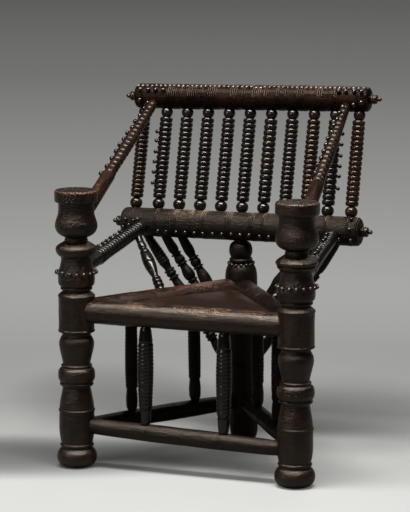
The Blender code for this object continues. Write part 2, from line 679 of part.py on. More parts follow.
def make_braces(label, side, back_rail, rear_post):
    """Three slanting braces of one side, turned alike from both ends."""
    mirrored = [(1 - along, across) for along, across in reversed(BRACE_HALF_SHARES[:-1])]
    outline = list(BRACE_HALF_SHARES) + mirrored
    for count, top_share in enumerate(BRACE_TOP_SHARES):
        head = back_rail_point(side * top_share * SPINDLE_HALF_WIDTH)
        height = BRACE_FOOT_SHARES[label][count] * SEAT_RAIL_Z
        foot = rear_post_point(height)
        run = (head - foot).normalized()
        rail_sine = math.sqrt(1 - run.x ** 2)
        low = seat_distance(REAR_BLOCK_R, BRACE_R) / 2 / abs(run.x)
        high = (head - foot).length - (BACK_RAIL_R - BRACE_DEPTH) / rail_sine
        stations = zone(low, high, BRACE_R, outline)
        name = "brace_%s_%d" % (label, count + 1)
        bar(name, foot, head, stations, BRACE_SIDES, wood(name, DARK_WOOD, 0.34))
        socket(rear_post, name, False, 3 * REAR_BLOCK_R)
        socket(back_rail, name, True, 2 * BACK_RAIL_R)


def build():
    """Make every piece and sink each into the pieces that carry it."""
    posts = {label: make_front_post(label, side) for label, side in SIDES}
    rear_post = make_rear_post()
    rails = make_seat_rails()
    stretchers = make_stretchers()
    back_rail = make_end_rail(
        "back_rail_lower", back_rail_point, BACK_RAIL_HALF, BACK_RAIL_R, DARK_WOOD)
    crest = make_end_rail("crest_rail", crest_point, CREST_HALF, CREST_R, WORN_WOOD)
    socket(back_rail, "post_rear", True, BACK_RAIL_R + REAR_TENON_R)
    for label, side in SIDES:
        for member in ("seat_rail_front", "seat_rail_" + label):
            at_end = member == "seat_rail_front" and side > 0
            socket(posts[label], member, at_end, 2 * FRONT_BLOCK_R)
        for member in ("stretcher_front", "stretcher_" + label):
            at_end = member == "stretcher_front" and side > 0
            socket(posts[label], member, at_end, 2 * FRONT_BLOCK_R)
        socket(rear_post, "seat_rail_" + label, True, 2 * REAR_BLOCK_R)
        socket(rear_post, "stretcher_" + label, True, 2 * REAR_BLOCK_R)
    make_board("seat_board", 0, wood("seat_board", BROWN_WOOD, 0.40))
    groove = make_board("groove_for_board", FIT_GAP, None)
    for rail in rails.values():
        subtract(rail, groove)
    make_finials(back_rail, crest)
    make_back_spindles(back_rail, crest)
    make_under_spindles(rails, stretchers)
    for label, side in SIDES:
        arm = make_arms(label, side, posts[label], back_rail, crest)
        make_side_spindle(label, rails[label], arm)
        make_braces(label, side, back_rail, rear_post)


build()
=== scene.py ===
from math import atan2, cos, exp, pi, radians, sin, sqrt, tan

import bpy
import numpy as np
from mathutils import Matrix, Vector, noise


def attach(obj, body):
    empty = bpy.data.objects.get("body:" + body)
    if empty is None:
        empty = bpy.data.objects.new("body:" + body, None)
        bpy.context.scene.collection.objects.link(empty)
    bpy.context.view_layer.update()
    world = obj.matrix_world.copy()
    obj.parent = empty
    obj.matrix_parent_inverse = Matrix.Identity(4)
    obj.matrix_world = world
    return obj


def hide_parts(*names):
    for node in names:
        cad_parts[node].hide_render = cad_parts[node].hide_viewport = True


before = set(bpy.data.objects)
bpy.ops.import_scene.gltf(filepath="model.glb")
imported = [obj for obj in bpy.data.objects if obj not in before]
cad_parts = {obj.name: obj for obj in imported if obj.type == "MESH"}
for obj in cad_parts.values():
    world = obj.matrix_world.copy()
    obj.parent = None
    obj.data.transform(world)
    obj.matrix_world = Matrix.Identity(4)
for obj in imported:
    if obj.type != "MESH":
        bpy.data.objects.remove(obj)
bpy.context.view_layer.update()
rng = np.random.default_rng(1640)

# Places of the members, in metres, as in the CAD
FRONT_HALF = 0.325
FRONT_Y = -0.2669
BACK_RAIL_Y = 0.1961
CREST_Y = 0.2911
REAR_FOOT_Y = 0.2411
SEAT_Z = 0.447
LOWER_ARM_Z = 0.555
UPPER_ARM_Z = 0.685
POST_TOP = 0.790
BACK_RAIL_Z = 0.640
CREST_Z = 1.0095
STRETCHER_Z = 0.112
SPINDLE_HALF = 0.3335
BACK_RAIL_HALF = 0.368
CREST_HALF = 0.3625
BACK_RAIL_RISE = 0.008
CREST_RISE = 0.017
BACK_RAIL_R = 0.0419
CREST_R = 0.0372
SEAT_RAIL_R = 0.034
STRETCHER_R = 0.0248
REAR_BLOCK_R = 0.0475
UPPER_ARM_R = 0.0205
UPPER_ARM_HEAD_R = 0.0145
LOWER_ARM_R = 0.0217
SIDES = (("left", -1), ("right", 1))
BARS = ("front", "left", "right")

# Camera, in the 410 x 512 frame
FRAME_WIDTH, FRAME_HEIGHT = 410, 512
FOCAL_PIXELS = 2511.68
CAMERA_PLACE = Vector((2.39978, -6.67160, 1.72836))
CAMERA_PITCH = 0.160421
CAMERA_YAW = 0.350375
CAMERA_ROLL = 0.004270
SENSOR_WIDTH = 36.0


def new_object(name, data):
    """An object in the scene's collection."""
    made = bpy.data.objects.new(name, data)
    bpy.context.scene.collection.objects.link(made)
    return made


def camera_axes():
    """Right, up and forward directions of the camera."""
    cos_p, sin_p = cos(CAMERA_PITCH), sin(CAMERA_PITCH)
    cos_y, sin_y = cos(CAMERA_YAW), sin(CAMERA_YAW)
    forward = Vector((-sin_y * cos_p, cos_y * cos_p, -sin_p))
    right = Vector((cos_y, sin_y, 0))
    up = right.cross(forward)
    cos_r, sin_r = cos(CAMERA_ROLL), sin(CAMERA_ROLL)
    return right * cos_r + up * sin_r, up * cos_r - right * sin_r, forward


def pixel_ray(pixel):
    """Direction from the camera through a point of the frame."""
    right, up, forward = camera_axes()
    across = pixel[0] - FRAME_WIDTH / 2
    down = pixel[1] - FRAME_HEIGHT / 2
    return (forward * FOCAL_PIXELS + right * across - up * down).normalized()


def axis_frame(start, end):
    """World matrix whose origin is start and whose Z axis points to end."""
    z_axis = (end - start).normalized()
    steep = abs(z_axis.z) > abs(z_axis.x) + abs(z_axis.y)
    reference = Vector((0, 1, 0)) if steep else Vector((0, 0, 1))
    x_axis = reference.cross(z_axis).normalized()
    y_axis = z_axis.cross(x_axis)
    rotation = Matrix((x_axis, y_axis, z_axis)).transposed()
    return Matrix.Translation(start) @ rotation.to_4x4()


def pixel_on(place, radius, pixel):
    """Height and angle, in a member's frame, of the surface point that a pixel shows."""
    to_local = place.inverted()
    origin = to_local @ CAMERA_PLACE
    ray = (to_local.to_3x3() @ pixel_ray(pixel)).normalized()
    a = ray.x ** 2 + ray.y ** 2
    b = origin.x * ray.x + origin.y * ray.y
    c = origin.x ** 2 + origin.y ** 2 - radius ** 2
    reach = (-b - sqrt(max(b * b - a * c, 0))) / a
    hit = origin + ray * reach
    return hit.z, atan2(hit.y, hit.x)


# Outlines: steps along a line, the relief that makes ridges lighter (wear and painted highlight)
# and grooves darker, and dents, in metres

STRAIGHT_STEP = 0.006
CURVE_STEPS = 8
LINE_STEP = 0.0006
LINE_TOLERANCE = 0.00007
RELIEF_REACH = 0.0045
RELIEF_DEPTH = 0.0011
DENT_SIZES = (0.003, 0.010)
DENT_DEPTHS = (0.0002, 0.0007)
SHARP_DEGREES = 42


def scaled(table):
    """A table's whole numbers, tenths of a millimetre or ten-thousandths, divided out."""
    return [tuple(value / 10000 for value in row) for row in table]


def between(p, q, a, b, knots, t):
    """Point between p, at knot a, and q, at knot b."""
    span = knots[b] - knots[a]
    return (knots[b] - t) / span * p + (t - knots[a]) / span * q


def smooth_run(run):
    """Points of a smooth line through a run of outline points."""
    points = [np.array(p, float) for p in run]
    if len(points) == 2:
        count = max(1, int(np.linalg.norm(points[1] - points[0]) / STRAIGHT_STEP))
        return [points[0] + (points[1] - points[0]) * i / count for i in range(count + 1)]
    points = [2 * points[0] - points[1]] + points + [2 * points[-1] - points[-2]]
    made = [points[1]]
    for four in zip(points, points[1:], points[2:], points[3:]):
        knots = [0.0]
        for p, q in zip(four, four[1:]):
            knots.append(knots[-1] + max(np.linalg.norm(q - p), 1e-6) ** 0.5)
        for i in range(1, CURVE_STEPS + 1):
            t = knots[1] + (knots[2] - knots[1]) * i / CURVE_STEPS
            a, b, c = [between(four[k], four[k + 1], k, k + 1, knots, t) for k in range(3)]
            made.append(between(between(a, b, 0, 2, knots, t), between(b, c, 1, 3, knots, t),
                                1, 2, knots, t))
    return made


def thin_out(line, tolerance, spacing):
    """The points of a line that matter: off the chord, or further apart than spacing."""
    keep = np.zeros(len(line), bool)
    keep[[0, -1]] = True
    spans = [(0, len(line) - 1)]
    while spans:
        a, b = spans.pop()
        if b <= a + 1:
            continue
        chord = line[b] - line[a]
        size = max(np.linalg.norm(chord), 1e-9)
        offset = line[a + 1:b] - line[a]
        gap = np.abs(chord[0] * offset[:, 1] - chord[1] * offset[:, 0]) / size
        worst = int(np.argmax(gap))
        if gap[worst] > tolerance or size > spacing:
            middle = a + 1 + worst if gap[worst] > tolerance else (a + b) // 2
            keep[middle] = True
            spans += [(a, middle), (middle, b)]
    return keep


def outline(points, rings, soften, spacing):
    """A turned outline as an array of height, radius and relief.

    A minus radius marks a corner. Each ring is (middle, half width, height);
    one of minus height is a groove.
    """
    runs, run = [], []
    for height, radius in points:
        run.append((height, abs(radius)))
        if radius < 0 and len(run) > 1:
            runs.append(run)
            run = [run[-1]]
    if len(run) > 1:
        runs.append(run)
    dense = [np.array(runs[0][0], float)]
    for run in runs:
        dense += smooth_run(run)[1:]
    dense = np.array(dense)
    heights = np.maximum.accumulate(dense[:, 0] + 1e-8 * np.arange(len(dense)))
    radii = dense[:, 1]
    if len(rings):
        extra = [middle + width * np.linspace(-1, 1, 13) for middle, width, _ in rings]
        grid = np.unique(np.concatenate([heights] + extra))
        grid = grid[(grid >= heights[0]) & (grid <= heights[-1])]
        radii = np.interp(grid, heights, radii)
        heights = grid
        for middle, width, rise in rings:
            t = np.clip(np.abs(heights - middle) / width, 0, 1)
            radii = radii + rise * (np.sqrt(1 - t * t) if rise > 0 else 1 - t * t)
    steps = np.hypot(np.diff(heights), np.diff(radii))
    along = np.concatenate([[0], np.cumsum(steps)])
    even = np.linspace(0, along[-1], max(8, int(along[-1] / LINE_STEP)))
    line = np.stack([np.interp(even, along, heights), np.interp(even, along, radii)], 1)
    for _ in range(soften):
        line[1:-1] = (line[:-2] + 2 * line[1:-1] + line[2:]) / 4
    width = max(1, int(RELIEF_REACH / LINE_STEP))
    kernel = np.exp(-0.5 * (np.arange(-3 * width, 3 * width + 1) / width) ** 2)
    kernel /= kernel.sum()
    padded = np.pad(line[:, 1], 3 * width, mode="edge")
    relief = (line[:, 1] - np.convolve(padded, kernel, mode="valid")) / RELIEF_DEPTH
    keep = thin_out(line, LINE_TOLERANCE, spacing)
    return np.column_stack([line, np.clip(relief, -1, 1)])[keep]


def along_way(low, high, pairs):
    """Outline points from shares of the way between two heights."""
    return [(low + (high - low) * share, radius) for share, radius in pairs]


def bar_points(low, high, end, lead, near, pairs):
    """A bar's outline: an end radius, the radius a lead further in, and shares between."""
    return [(low, -end), (low + lead, near)] + along_way(low, high, pairs) + [
        (high - lead, near), (high, -end)]


def even_rings(low, high, count, height, share):
    """Equal rings side by side between two heights."""
    pitch = (high - low) / count
    return [(low + pitch * (i + 0.5), pitch * share, height) for i in range(count)]


# Wood

def node_tools(name):
    """A new material, its shader and object coordinates, and calls that add nodes."""
    material = bpy.data.materials.new(name)
    material.use_nodes = True
    tree = material.node_tree

    def add(kind, **values):
        node = tree.nodes.new(kind)
        for key, value in values.items():
            setattr(node, key, value)
        return node

    def feed(node, values):
        for key, value in values.items():
            if isinstance(value, bpy.types.NodeSocket):
                tree.links.new(value, node.inputs[key])
            else:
                node.inputs[key].default_value = value
        return node.outputs

    def maths(operation, *values, clamp=False):
        node = add("ShaderNodeMath", operation=operation, use_clamp=clamp)
        return feed(node, dict(enumerate(values)))[0]

    def times(a, b):
        return maths("MULTIPLY", a, b)

    def vectors(operation, *values, output=0):
        node = add("ShaderNodeVectorMath", operation=operation)
        return feed(node, dict(enumerate(values)))[output]

    def mix(factor, a, b):
        return feed(add("ShaderNodeMix", data_type="RGBA"), {"Factor": factor, 6: a, 7: b})[2]

    def spread(value, low, high):
        node = add("ShaderNodeMapRange", interpolation_type="SMOOTHSTEP")
        return feed(node, {"Value": value, "From Min": low, "From Max": high})["Result"]

    shader = tree.nodes["Principled BSDF"]
    coords = add("ShaderNodeTexCoord").outputs["Object"]
    return material, shader, coords, add, feed, maths, times, vectors, mix, spread


def rgb(red, green, blue):
    """A colour for a socket from its linear values."""
    return (red, green, blue, 1.0)


SHEEN = rgb(1.0, 0.88, 0.77)
NEUTRAL = rgb(1.0, 1.0, 1.0)


def wood(name, dark, middle, worn, gloss=(0.26, 0.50), wear_highlight_amount=1.0, scratches=0.5,
         specular=0.42, rise=1.0, sheen=SHEEN):
    """Old dark oiled wood: streaked grain, flecks of wear and painted ridge highlight, darker and
    rougher in the grooves.

    The colours are linear values in ten-thousandths.
    """
    dark, middle, worn = scaled((dark, middle, worn))
    material, shader, coords, add, feed, maths, times, vectors, mix, spread = node_tools(name)

    def attribute(key, output="Fac"):
        return add("ShaderNodeAttribute", attribute_name=key).outputs[output]

    def grain(scale, detail, roughness=0.55, stretch=1):
        vector = base if stretch == 1 else vectors("MULTIPLY", base, (1, 1, stretch))
        values = {"Vector": vector, "Scale": scale, "Detail": detail, "Roughness": roughness}
        return feed(add("ShaderNodeTexNoise"), values)["Fac"]

    def plus(total, *terms):
        for value, weight in terms:
            total = maths("MULTIPLY_ADD", value, weight, total)
        return total

    base = vectors("MULTIPLY_ADD", attribute("seed", "Vector"), (3.1, 1.7, 2.3), coords)
    streak = grain(210, 4, 0.6, stretch=0.10)
    figure = grain(60, 4, stretch=0.22)
    blotch = grain(13, 4, 0.6)
    speck = grain(230, 3, 0.7)
    fleck = grain(185, 3, 0.7, stretch=0.45)
    tone = maths("ADD", times(streak, 0.40), times(figure, 0.34))
    colour = mix(spread(plus(tone, (blotch, 0.26)), 0.40, 0.60), rgb(*dark), rgb(*middle))
    wearing = plus(-0.72, (attribute("worn"), 1.25 * wear_highlight_amount))
    for value, weight in ((blotch, 1.3), (fleck, 2.6), (streak, 1.0)):
        wearing = plus(wearing, (maths("SUBTRACT", value, 0.5), weight))
    colour = mix(spread(wearing, 0.0, 0.9), colour, rgb(*worn))
    scratched = times(spread(wearing, 0.75, 1.2), scratches)
    colour = mix(scratched, colour, rgb(*(min(1, 2.0 * c + 0.05) for c in worn)))
    # Negative relief makes the grooves darker and rougher.
    groove_darkening = maths("MULTIPLY", attribute("relief"), -0.85, clamp=True)
    colour = mix(groove_darkening, colour, rgb(*(0.2 * c for c in dark)))
    gap = gloss[1] - gloss[0]
    rough = plus(gloss[0], (speck, 0.6 * gap), (blotch, 0.4 * gap), (groove_darkening, 0.25))
    height = plus(times(streak, 0.7), (figure, 0.6), (grain(95, 3), 0.6), (speck, 0.8))
    bump = feed(add("ShaderNodeBump"), {"Strength": rise, "Distance": 0.0028, "Height": height})
    feed(shader, {"Base Color": colour, "Specular IOR Level": specular, "Specular Tint": sheen,
                  "Roughness": rough, "Normal": bump[0]})
    return material


BLACK = wood("black_oak", (36, 22, 17), (122, 68, 49), (560, 300, 190), gloss=(0.15, 0.32),
    wear_highlight_amount=0.8, specular=0.36, rise=0.8)
CREST = wood("crest_oak", (36, 21, 16), (165, 66, 43), (880, 610, 480), gloss=(0.20, 0.36),
    scratches=0.35, specular=0.08, rise=0.36)
# A darker copy of the black oak, painted shade for the parts in shadow: rear post, side
# stretchers, side under-spindles and braces.
PAINTED_SHADE_OAK = wood("painted_shade_oak", (24, 18, 15), (75, 50, 40), (340, 210, 150), gloss=(0.30, 0.48), wear_highlight_amount=0.8,
    specular=0.22, rise=0.5)
POST = wood("post_oak", (40, 25, 19), (175, 92, 63), (1000, 460, 290), gloss=(0.10, 0.26),
    wear_highlight_amount=0.9, scratches=0.8, specular=0.56, rise=0.78)
BROWN = wood("brown_oak", (40, 23, 17), (180, 78, 48), (1250, 640, 380), gloss=(0.10, 0.25),
    scratches=1.0, specular=0.52, rise=0.55)
RED = wood("red_oak", (62, 32, 24), (240, 105, 72), (1100, 460, 260), gloss=(0.16, 0.34),
    scratches=0.9, rise=0.7)
DRY = wood("dry_oak", (50, 38, 30), (160, 115, 85), (1150, 780, 520), gloss=(0.28, 0.48),
    scratches=1.0, specular=0.19, rise=0.85)
BOARD = wood("board_oak", (40, 30, 24), (260, 115, 74), (1050, 500, 280), gloss=(0.22, 0.40),
    scratches=0.9, rise=0.6)
BUTTON = wood("button_wood", (40, 28, 22), (90, 64, 50), (340, 220, 160), gloss=(0.10, 0.20),
    wear_highlight_amount=0.6, specular=0.75, rise=0.1, sheen=NEUTRAL)
# Pale domed buttons: a lighter wood, whose pale worn colour also paints in the highlight on each
# dome.
ROW_PAINTED_HIGHLIGHT = wood("row_button_painted_highlight_wood", (100, 54, 40), (260, 130, 90), (1500, 1160, 980), gloss=(0.13, 0.23),
    specular=0.95, rise=0.1, sheen=NEUTRAL)
TURNED_BLACK = wood("turned_black_wood", (30, 22, 18), (105, 70, 55), (400, 240, 160),
    gloss=(0.18, 0.28), wear_highlight_amount=0.6, scratches=0.1, specular=0.5, rise=0.04, sheen=NEUTRAL)
TURNED_BROWN = wood("turned_brown_wood", (54, 31, 23), (180, 92, 64), (660, 290, 180),
    gloss=(0.18, 0.28), wear_highlight_amount=0.8, scratches=0.1, specular=0.5, rise=0.04)
ARM = wood("arm_oak", (66, 35, 26), (230, 112, 76), (1100, 480, 260), gloss=(0.19, 0.32), wear_highlight_amount=0.9,
    specular=0.42, rise=0.12)
TURNED_RED = wood("turned_red_wood", (74, 36, 26), (260, 120, 78), (900, 380, 220),
    gloss=(0.18, 0.28), scratches=0.2, specular=0.5, rise=0.04)


def finish_piece(piece, carrier, replaced):
    """Ride on the one body; a piece that replaces its carrier hides the carrier's CAD node."""
    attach(piece, "root")
    if replaced:
        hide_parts(carrier)


def mesh_piece(name, vertices, faces, place, material, relief, worn, seed):
    """An object from arrays, with the attributes that the wood reads."""
    mesh = bpy.data.meshes.new(name)
    mesh.from_pydata([tuple(v) for v in vertices], [], faces)
    for key, values in (("relief", relief), ("worn", worn), ("seed", seed)):
        layer = mesh.attributes.new(key, "FLOAT", "POINT")
        values = np.broadcast_to(np.asarray(values, np.float32), len(vertices))
        layer.data.foreach_set("value", np.ascontiguousarray(values))
    mesh.shade_smooth()
    mesh.set_sharp_from_angle(angle=radians(SHARP_DEGREES))
    mesh.materials.append(material)
    piece = new_object(name, mesh)
    piece.matrix_world = place
    return piece


def smooth_step(values, low, high):
    """0 below low, 1 above high, with a smooth way between."""
    t = np.clip((values - low) / (high - low), 0, 1)
    return t * t * (3 - 2 * t)


def member(node, start, end, points, material, rings=(), soften=1, spacing=0.012, sides=32,
           worn=0.2, peak=0.5, top=0.3, spots=(), ridge_highlight_face=(0.30, 0.92), ridge_highlight_on_top=1.0,
           wobble=0.0003, dents=40, level_foot=False):
    """A turned member that stands for a CAD node; gives back its place and outline.

    spots are worn places, lighter, and darker where the strength is minus: (height, half length,
    strength).
    """
    place = axis_frame(start, end)
    line = outline(points, rings, soften, spacing)
    heights, radii, relief = line[:, 0], line[:, 1], line[:, 2]
    angles = np.linspace(0, 2 * pi, sides, endpoint=False)
    z, r, high = (np.repeat(values, sides) for values in (heights, radii, relief))
    turn = np.tile(angles, len(heights))
    phase = rng.uniform(0, 2 * pi, 4)
    length = heights[-1] - heights[0]
    slow = np.sin(2 * turn + phase[0] + 5 * z / length) + 0.6 * np.sin(
        3 * turn + phase[1] - 9 * z / length) + 0.8 * np.sin(40 * z + phase[2])
    r = r + wobble * slow * np.clip(r / 0.02, 0.3, 1)
    for _ in range(dents):
        at = rng.uniform(heights[0], heights[-1])
        angle = rng.uniform(-pi, pi)
        size, depth = rng.uniform(*DENT_SIZES), rng.uniform(*DENT_DEPTHS)
        apart = np.abs((turn - angle + pi) % (2 * pi) - pi) * r
        r = r - depth * np.exp(-(apart ** 2 + (z - at) ** 2) / size ** 2)
    vertices = np.stack([r * np.cos(turn), r * np.sin(turn), z], 1)
    slope = np.clip(np.gradient(radii, heights + 1e-9 * np.arange(len(heights))), -50, 50)
    normal = np.stack([np.cos(turn), np.sin(turn), -np.repeat(slope, sides)], 1)
    normal /= np.linalg.norm(normal, axis=1)[:, None]
    rotation = np.array(place.to_3x3())
    rise = (normal @ rotation.T)[:, 2]
    # Ridges get lighter, partly from wear and partly as a painted highlight on the ridges that
    # face the given way; upward faces get lighter from wear.
    upward, ridge_highlight = (smooth_step(rise, *span) for span in ((0.30, 0.92), ridge_highlight_face))
    ridge_highlight = ridge_highlight * (1 - (1 - ridge_highlight_on_top) * smooth_step(rise, 0.72, 0.92))
    wear_highlight_amount = worn + peak * np.clip(high, 0, 1) * (0.3 + 0.7 * ridge_highlight) + top * upward
    for at, half, strength in spots:
        wear_highlight_amount = wear_highlight_amount + strength * np.exp(-((z - at) / half) ** 2) * (0.35 + 0.65 * upward)
    vertices = np.vstack([vertices, [(0, 0, heights[0]), (0, 0, heights[-1])]])
    if level_foot:
        shift = np.array(place.translation)
        world = vertices @ rotation.T + shift
        world[:, 2] = np.maximum(world[:, 2], 0)
        vertices = (world - shift) @ rotation
    piece = mesh_piece("turned_" + node, vertices, skin(len(heights), sides), place, material,
                       np.concatenate([high, np.clip(relief[[0, -1]], 0, 1)]),
                       np.concatenate([wear_highlight_amount, wear_highlight_amount[[0, -1]]]), rng.uniform(0, 9))
    finish_piece(piece, node, True)
    return place, line


# Buttons, pegs and plugs

KNOB = ((-0.5, 0.62), (0, 0.60), (0.12, 0.57), (0.20, 0.78), (0.33, 0.95), (0.48, 1.0),
        (0.64, 0.94), (0.78, 0.79), (0.90, 0.56), (0.97, 0.30))
DOME = ((-0.6, 1.0), (0, 1.0), (0.35, 0.96), (0.65, 0.78), (0.88, 0.48), (0.98, 0.22))


# Radius and rise of the buttons, and how deep they sit
POST_BUTTON = (0.0057, 0.0112)
SHOULDER_BUTTON = (0.0050, 0.0080)
CREST_ROW_BUTTON = (0.0052, 0.0050)
CREST_END_BUTTON = (0.0075, 0.0115)
RAIL_ROW_BUTTON = (0.0056, 0.0054)
RAIL_END_BUTTON = (0.0062, 0.0100)
SPINDLE_BUTTON = (0.0062, 0.0118)
UPPER_ARM_BUTTON = (0.0078, 0.0120, 0.0040)
LOWER_ARM_BUTTON = (0.0072, 0.0095)
PEG_RISE, PEG_SINK = 0.0012, 0.0004


def skin(rows, sides, first=0):
    """Faces round rows of points, closed on the two points that follow them."""
    index = first + np.arange(rows * sides).reshape(rows, sides)
    after = np.roll(index, -1, 1)
    faces = np.stack([index[:-1], after[:-1], after[1:], index[1:]], -1).reshape(-1, 4).tolist()
    low, tip = first + rows * sides, first + rows * sides + 1
    faces += [(low, b, a) for a, b in zip(index[0].tolist(), after[0].tolist())]
    return faces + [(tip, a, b) for a, b in zip(index[-1].tolist(), after[-1].tolist())]


def studs(name, carrier, place, spots, shape, material, worn=0.3, sides=14):
    """Small turned buttons on a member.

    spots are (height, angle, member's radius, button's radius, rise).
    """
    vertices, faces, relief = [], [], []
    for height, angle, radius, size, rise in spots:
        out = Vector((cos(angle), sin(angle), 0))
        along = Vector((0, 0, 1))
        side = along.cross(out)
        base = out * radius + along * height
        faces += skin(len(shape), sides, len(vertices))
        direction = (out + Vector(rng.normal(0, 0.05, 3))).normalized()
        for share, across in shape:
            for j in range(sides):
                turn = 2 * pi * j / sides
                ring = side * cos(turn) + along * sin(turn)
                vertices.append(base + direction * (share * rise) + ring * (across * size))
                # A button's foot counts as a groove and comes out darker.
                relief.append(-0.8 if share <= 0.2 else 0.3)
        vertices += [base + direction * (shape[0][0] * rise), base + direction * rise]
        relief += [0, 0.3]
    piece = mesh_piece(name, vertices, faces, place, material, relief, worn, rng.uniform(0, 9))
    finish_piece(piece, carrier, False)


def pixel_studs(place, line, pixels, size, rise, sink=0.0):
    """Buttons at frame points, on the member's own outline."""
    spots = []
    for pixel in pixels:
        radius = float(np.median(line[:, 1]))
        for _ in range(3):
            height, angle = pixel_on(place, radius, pixel)
            radius = float(np.interp(height, line[:, 0], line[:, 1]))
        spots.append((height, angle, radius - sink, size, rise))
    return spots


# Places

def front_corner(side, height):
    return Vector((side * FRONT_HALF, FRONT_Y, height))


def back_rail_point(x):
    return Vector((x, BACK_RAIL_Y, BACK_RAIL_Z + BACK_RAIL_RISE * x / (2 * BACK_RAIL_HALF)))


def crest_point(x):
    return Vector((x, CREST_Y, CREST_Z + CREST_RISE * x / (2 * CREST_HALF)))


def rear_post_point(height):
    lean = (BACK_RAIL_Y - REAR_FOOT_Y) / BACK_RAIL_Z
    return Vector((0, REAR_FOOT_Y + lean * height, height))


# Front posts. Outline tables are in tenths of a millimetre, with a minus radius
# at each corner.

FOOT = ((0, -370), (12, 400), (40, 455), (100, 510), (180, 553), (285, 567), (380, 555),
    (460, 515), (500, -480), (545, -442), (575, -442), (585, 462), (620, 482), (655, 466),
    (668, -448), (700, -448), (760, 466), (900, 492), (1050, 503), (1300, 503), (1560, -494),
    (1590, -494), (1598, -514), (1650, -514), (1660, -492))
WAIST = ((1660, -492), (1850, 474), (2080, 432), (2290, -392), (2325, -396), (2340, 462),
    (2370, 478), (2410, 474), (2430, -450), (2450, -462), (2480, 492), (2560, 521), (2640, 527),
    (2730, 518), (2800, 488), (2835, -450), (2860, -418), (2880, 428), (2910, 440), (2935, 424),
    (2945, -388), (2975, -384), (3100, 410), (3300, 455), (3450, 486), (3540, 494), (3630, 480),
    (3720, 440), (3790, -402), (3840, -402))
BLOCK = ((3840, -402), (3872, -490), (3886, 512), (3910, 520), (3936, 512), (3946, -500),
    (3985, -507), (4830, -505), (4860, 512), (4895, 524), (4922, -516), (4990, 440), (5035, -378),
    (5065, -374))
ARM_BODY = ((5065, -374), (5080, 432), (5115, 450), (5145, 438), (5160, -425), (5220, 492),
    (5320, 516), (5440, 518), (5560, 505), (5650, 488), (5770, 460), (5870, 440), (5960, 430),
    (6005, -430))
TORUS_PLAIN = ((6005, -430), (6030, 480), (6090, 540), (6170, 578), (6235, 583), (6290, 562),
    (6345, 500), (6400, 415), (6445, -335))
TORUS_RINGED = ((6005, -430), (6030, 470), (6070, 520), (6110, 545), (6140, -540), (6152, -520),
    (6168, 555), (6205, 580), (6240, 583), (6275, 568), (6325, 512), (6385, 425), (6445, -335))
CUP = ((6445, -335), (6470, -318), (6490, 334), (6510, -318), (6530, 312), (6570, -330),
    (6600, 400), (6660, 495), (6750, 565), (6870, 600), (6980, 590), (7100, 552), (7230, 517),
    (7380, 507), (7540, -508), (7552, -570), (7565, 598), (7590, 611), (7640, 614), (7760, 613),
    (7845, 607), (7882, 588), (7896, -560), (7900, 450), (7896, 250), (7890, -40))
POST_LINES = ((850, 10, -8), (1245, 9, -7), (2640, 10, -10), (1755, 10, -8), (1815, 9, -6),
    (3180, 9, -5), (7420, 9, -6), (6905, 9, -5), (5350, 9, -6))
# Worn places on the posts; the minus entry makes them darker towards the bottom.
POST_WEAR = (
    (0.785, 0.0032, 1.7), (0.700, 0.050, 0.55), (0.540, 0.030, 0.70), (0.440, 0.045, 0.25),
    (0.356, 0.014, 0.45), (0.268, 0.008, 0.35), (0.180, 0.140, -0.60), (0.045, 0.01, 0.2))
POST_RING_Z = 0.5572
POST_RING_COUNT = 17
POST_RING_PIXELS = {"left": (76.7, 273.7), "right": (288.5, 288.1)}
POST_PEGS = {
    "left": ((0.0042, (71.0, 224.0)), (0.0055, (73.4, 315.0)), (0.0062, (74.3, 432.0))),
    "right": ((0.0042, (287.5, 235.0)), (0.0092, (299.0, 445.0)))}


def joined(*tables):
    """One outline from tables that share their end points."""
    points = scaled(tables[0])
    for table in tables[1:]:
        points += scaled(table[1:])
    return points


def make_front_post(label, side):
    torus = TORUS_PLAIN if label == "left" else TORUS_RINGED
    node = "post_front_" + label
    place, line = member(
        node, front_corner(side, 0), front_corner(side, POST_TOP),
        joined(FOOT, WAIST, BLOCK, ARM_BODY, torus, CUP), POST, scaled(POST_LINES), soften=2,
        spacing=0.0045, sides=80, worn=0.24, top=0.06, spots=POST_WEAR, dents=300)
    ring_r = float(np.interp(POST_RING_Z, line[:, 0], line[:, 1]))
    _, offset = pixel_on(place, ring_r + 0.008, POST_RING_PIXELS[label])
    ring = []
    for i in range(POST_RING_COUNT):
        angle = offset + 2 * pi * (i + rng.normal(0, 0.05)) / POST_RING_COUNT
        ring.append((POST_RING_Z + rng.normal(0, 0.0008), angle, ring_r, *POST_BUTTON))
    studs("buttons_" + node, node, place, ring, KNOB, ROW_PAINTED_HIGHLIGHT, worn=0.05)
    pegs = []
    for size, pixel in POST_PEGS[label]:
        pegs += pixel_studs(place, line, (pixel,), size, PEG_RISE, PEG_SINK)
    studs("pegs_" + node, node, place, pegs, DOME, BROWN, worn=0.45, sides=20)


# Rear post

REAR_POST = ((-10, -330), (0, -335), (20, 360), (120, 395), (300, 415), (700, 428), (1300, 436),
    (2000, 440), (2280, -440), (2290, 458), (2330, 470), (2370, 458), (2385, -446), (2600, 452),
    (3600, -458), (3900, -462), (3925, -475), (4900, -475), (5020, 466), (5150, 440), (5270, 378),
    (5335, -306), (5365, -303), (5385, 330), (5425, 344), (5465, 330), (5485, -296), (5515, -296),
    (5545, 312), (5620, 338), (5700, 344), (5800, 332), (5900, 290), (5975, -205), (5985, -140),
    (6150, -140))
REAR_LINES = ((1000, 10, -8), (4000, 10, -8), (4860, 10, -8))
SHOULDER_COUNT = 15
SHOULDER_BUTTON_PIXELS = ((224.5, 262.5), (230, 264), (236, 265), (241.5, 265.3), (247, 265.2),
                          (252, 264.8), (255.8, 263.6))


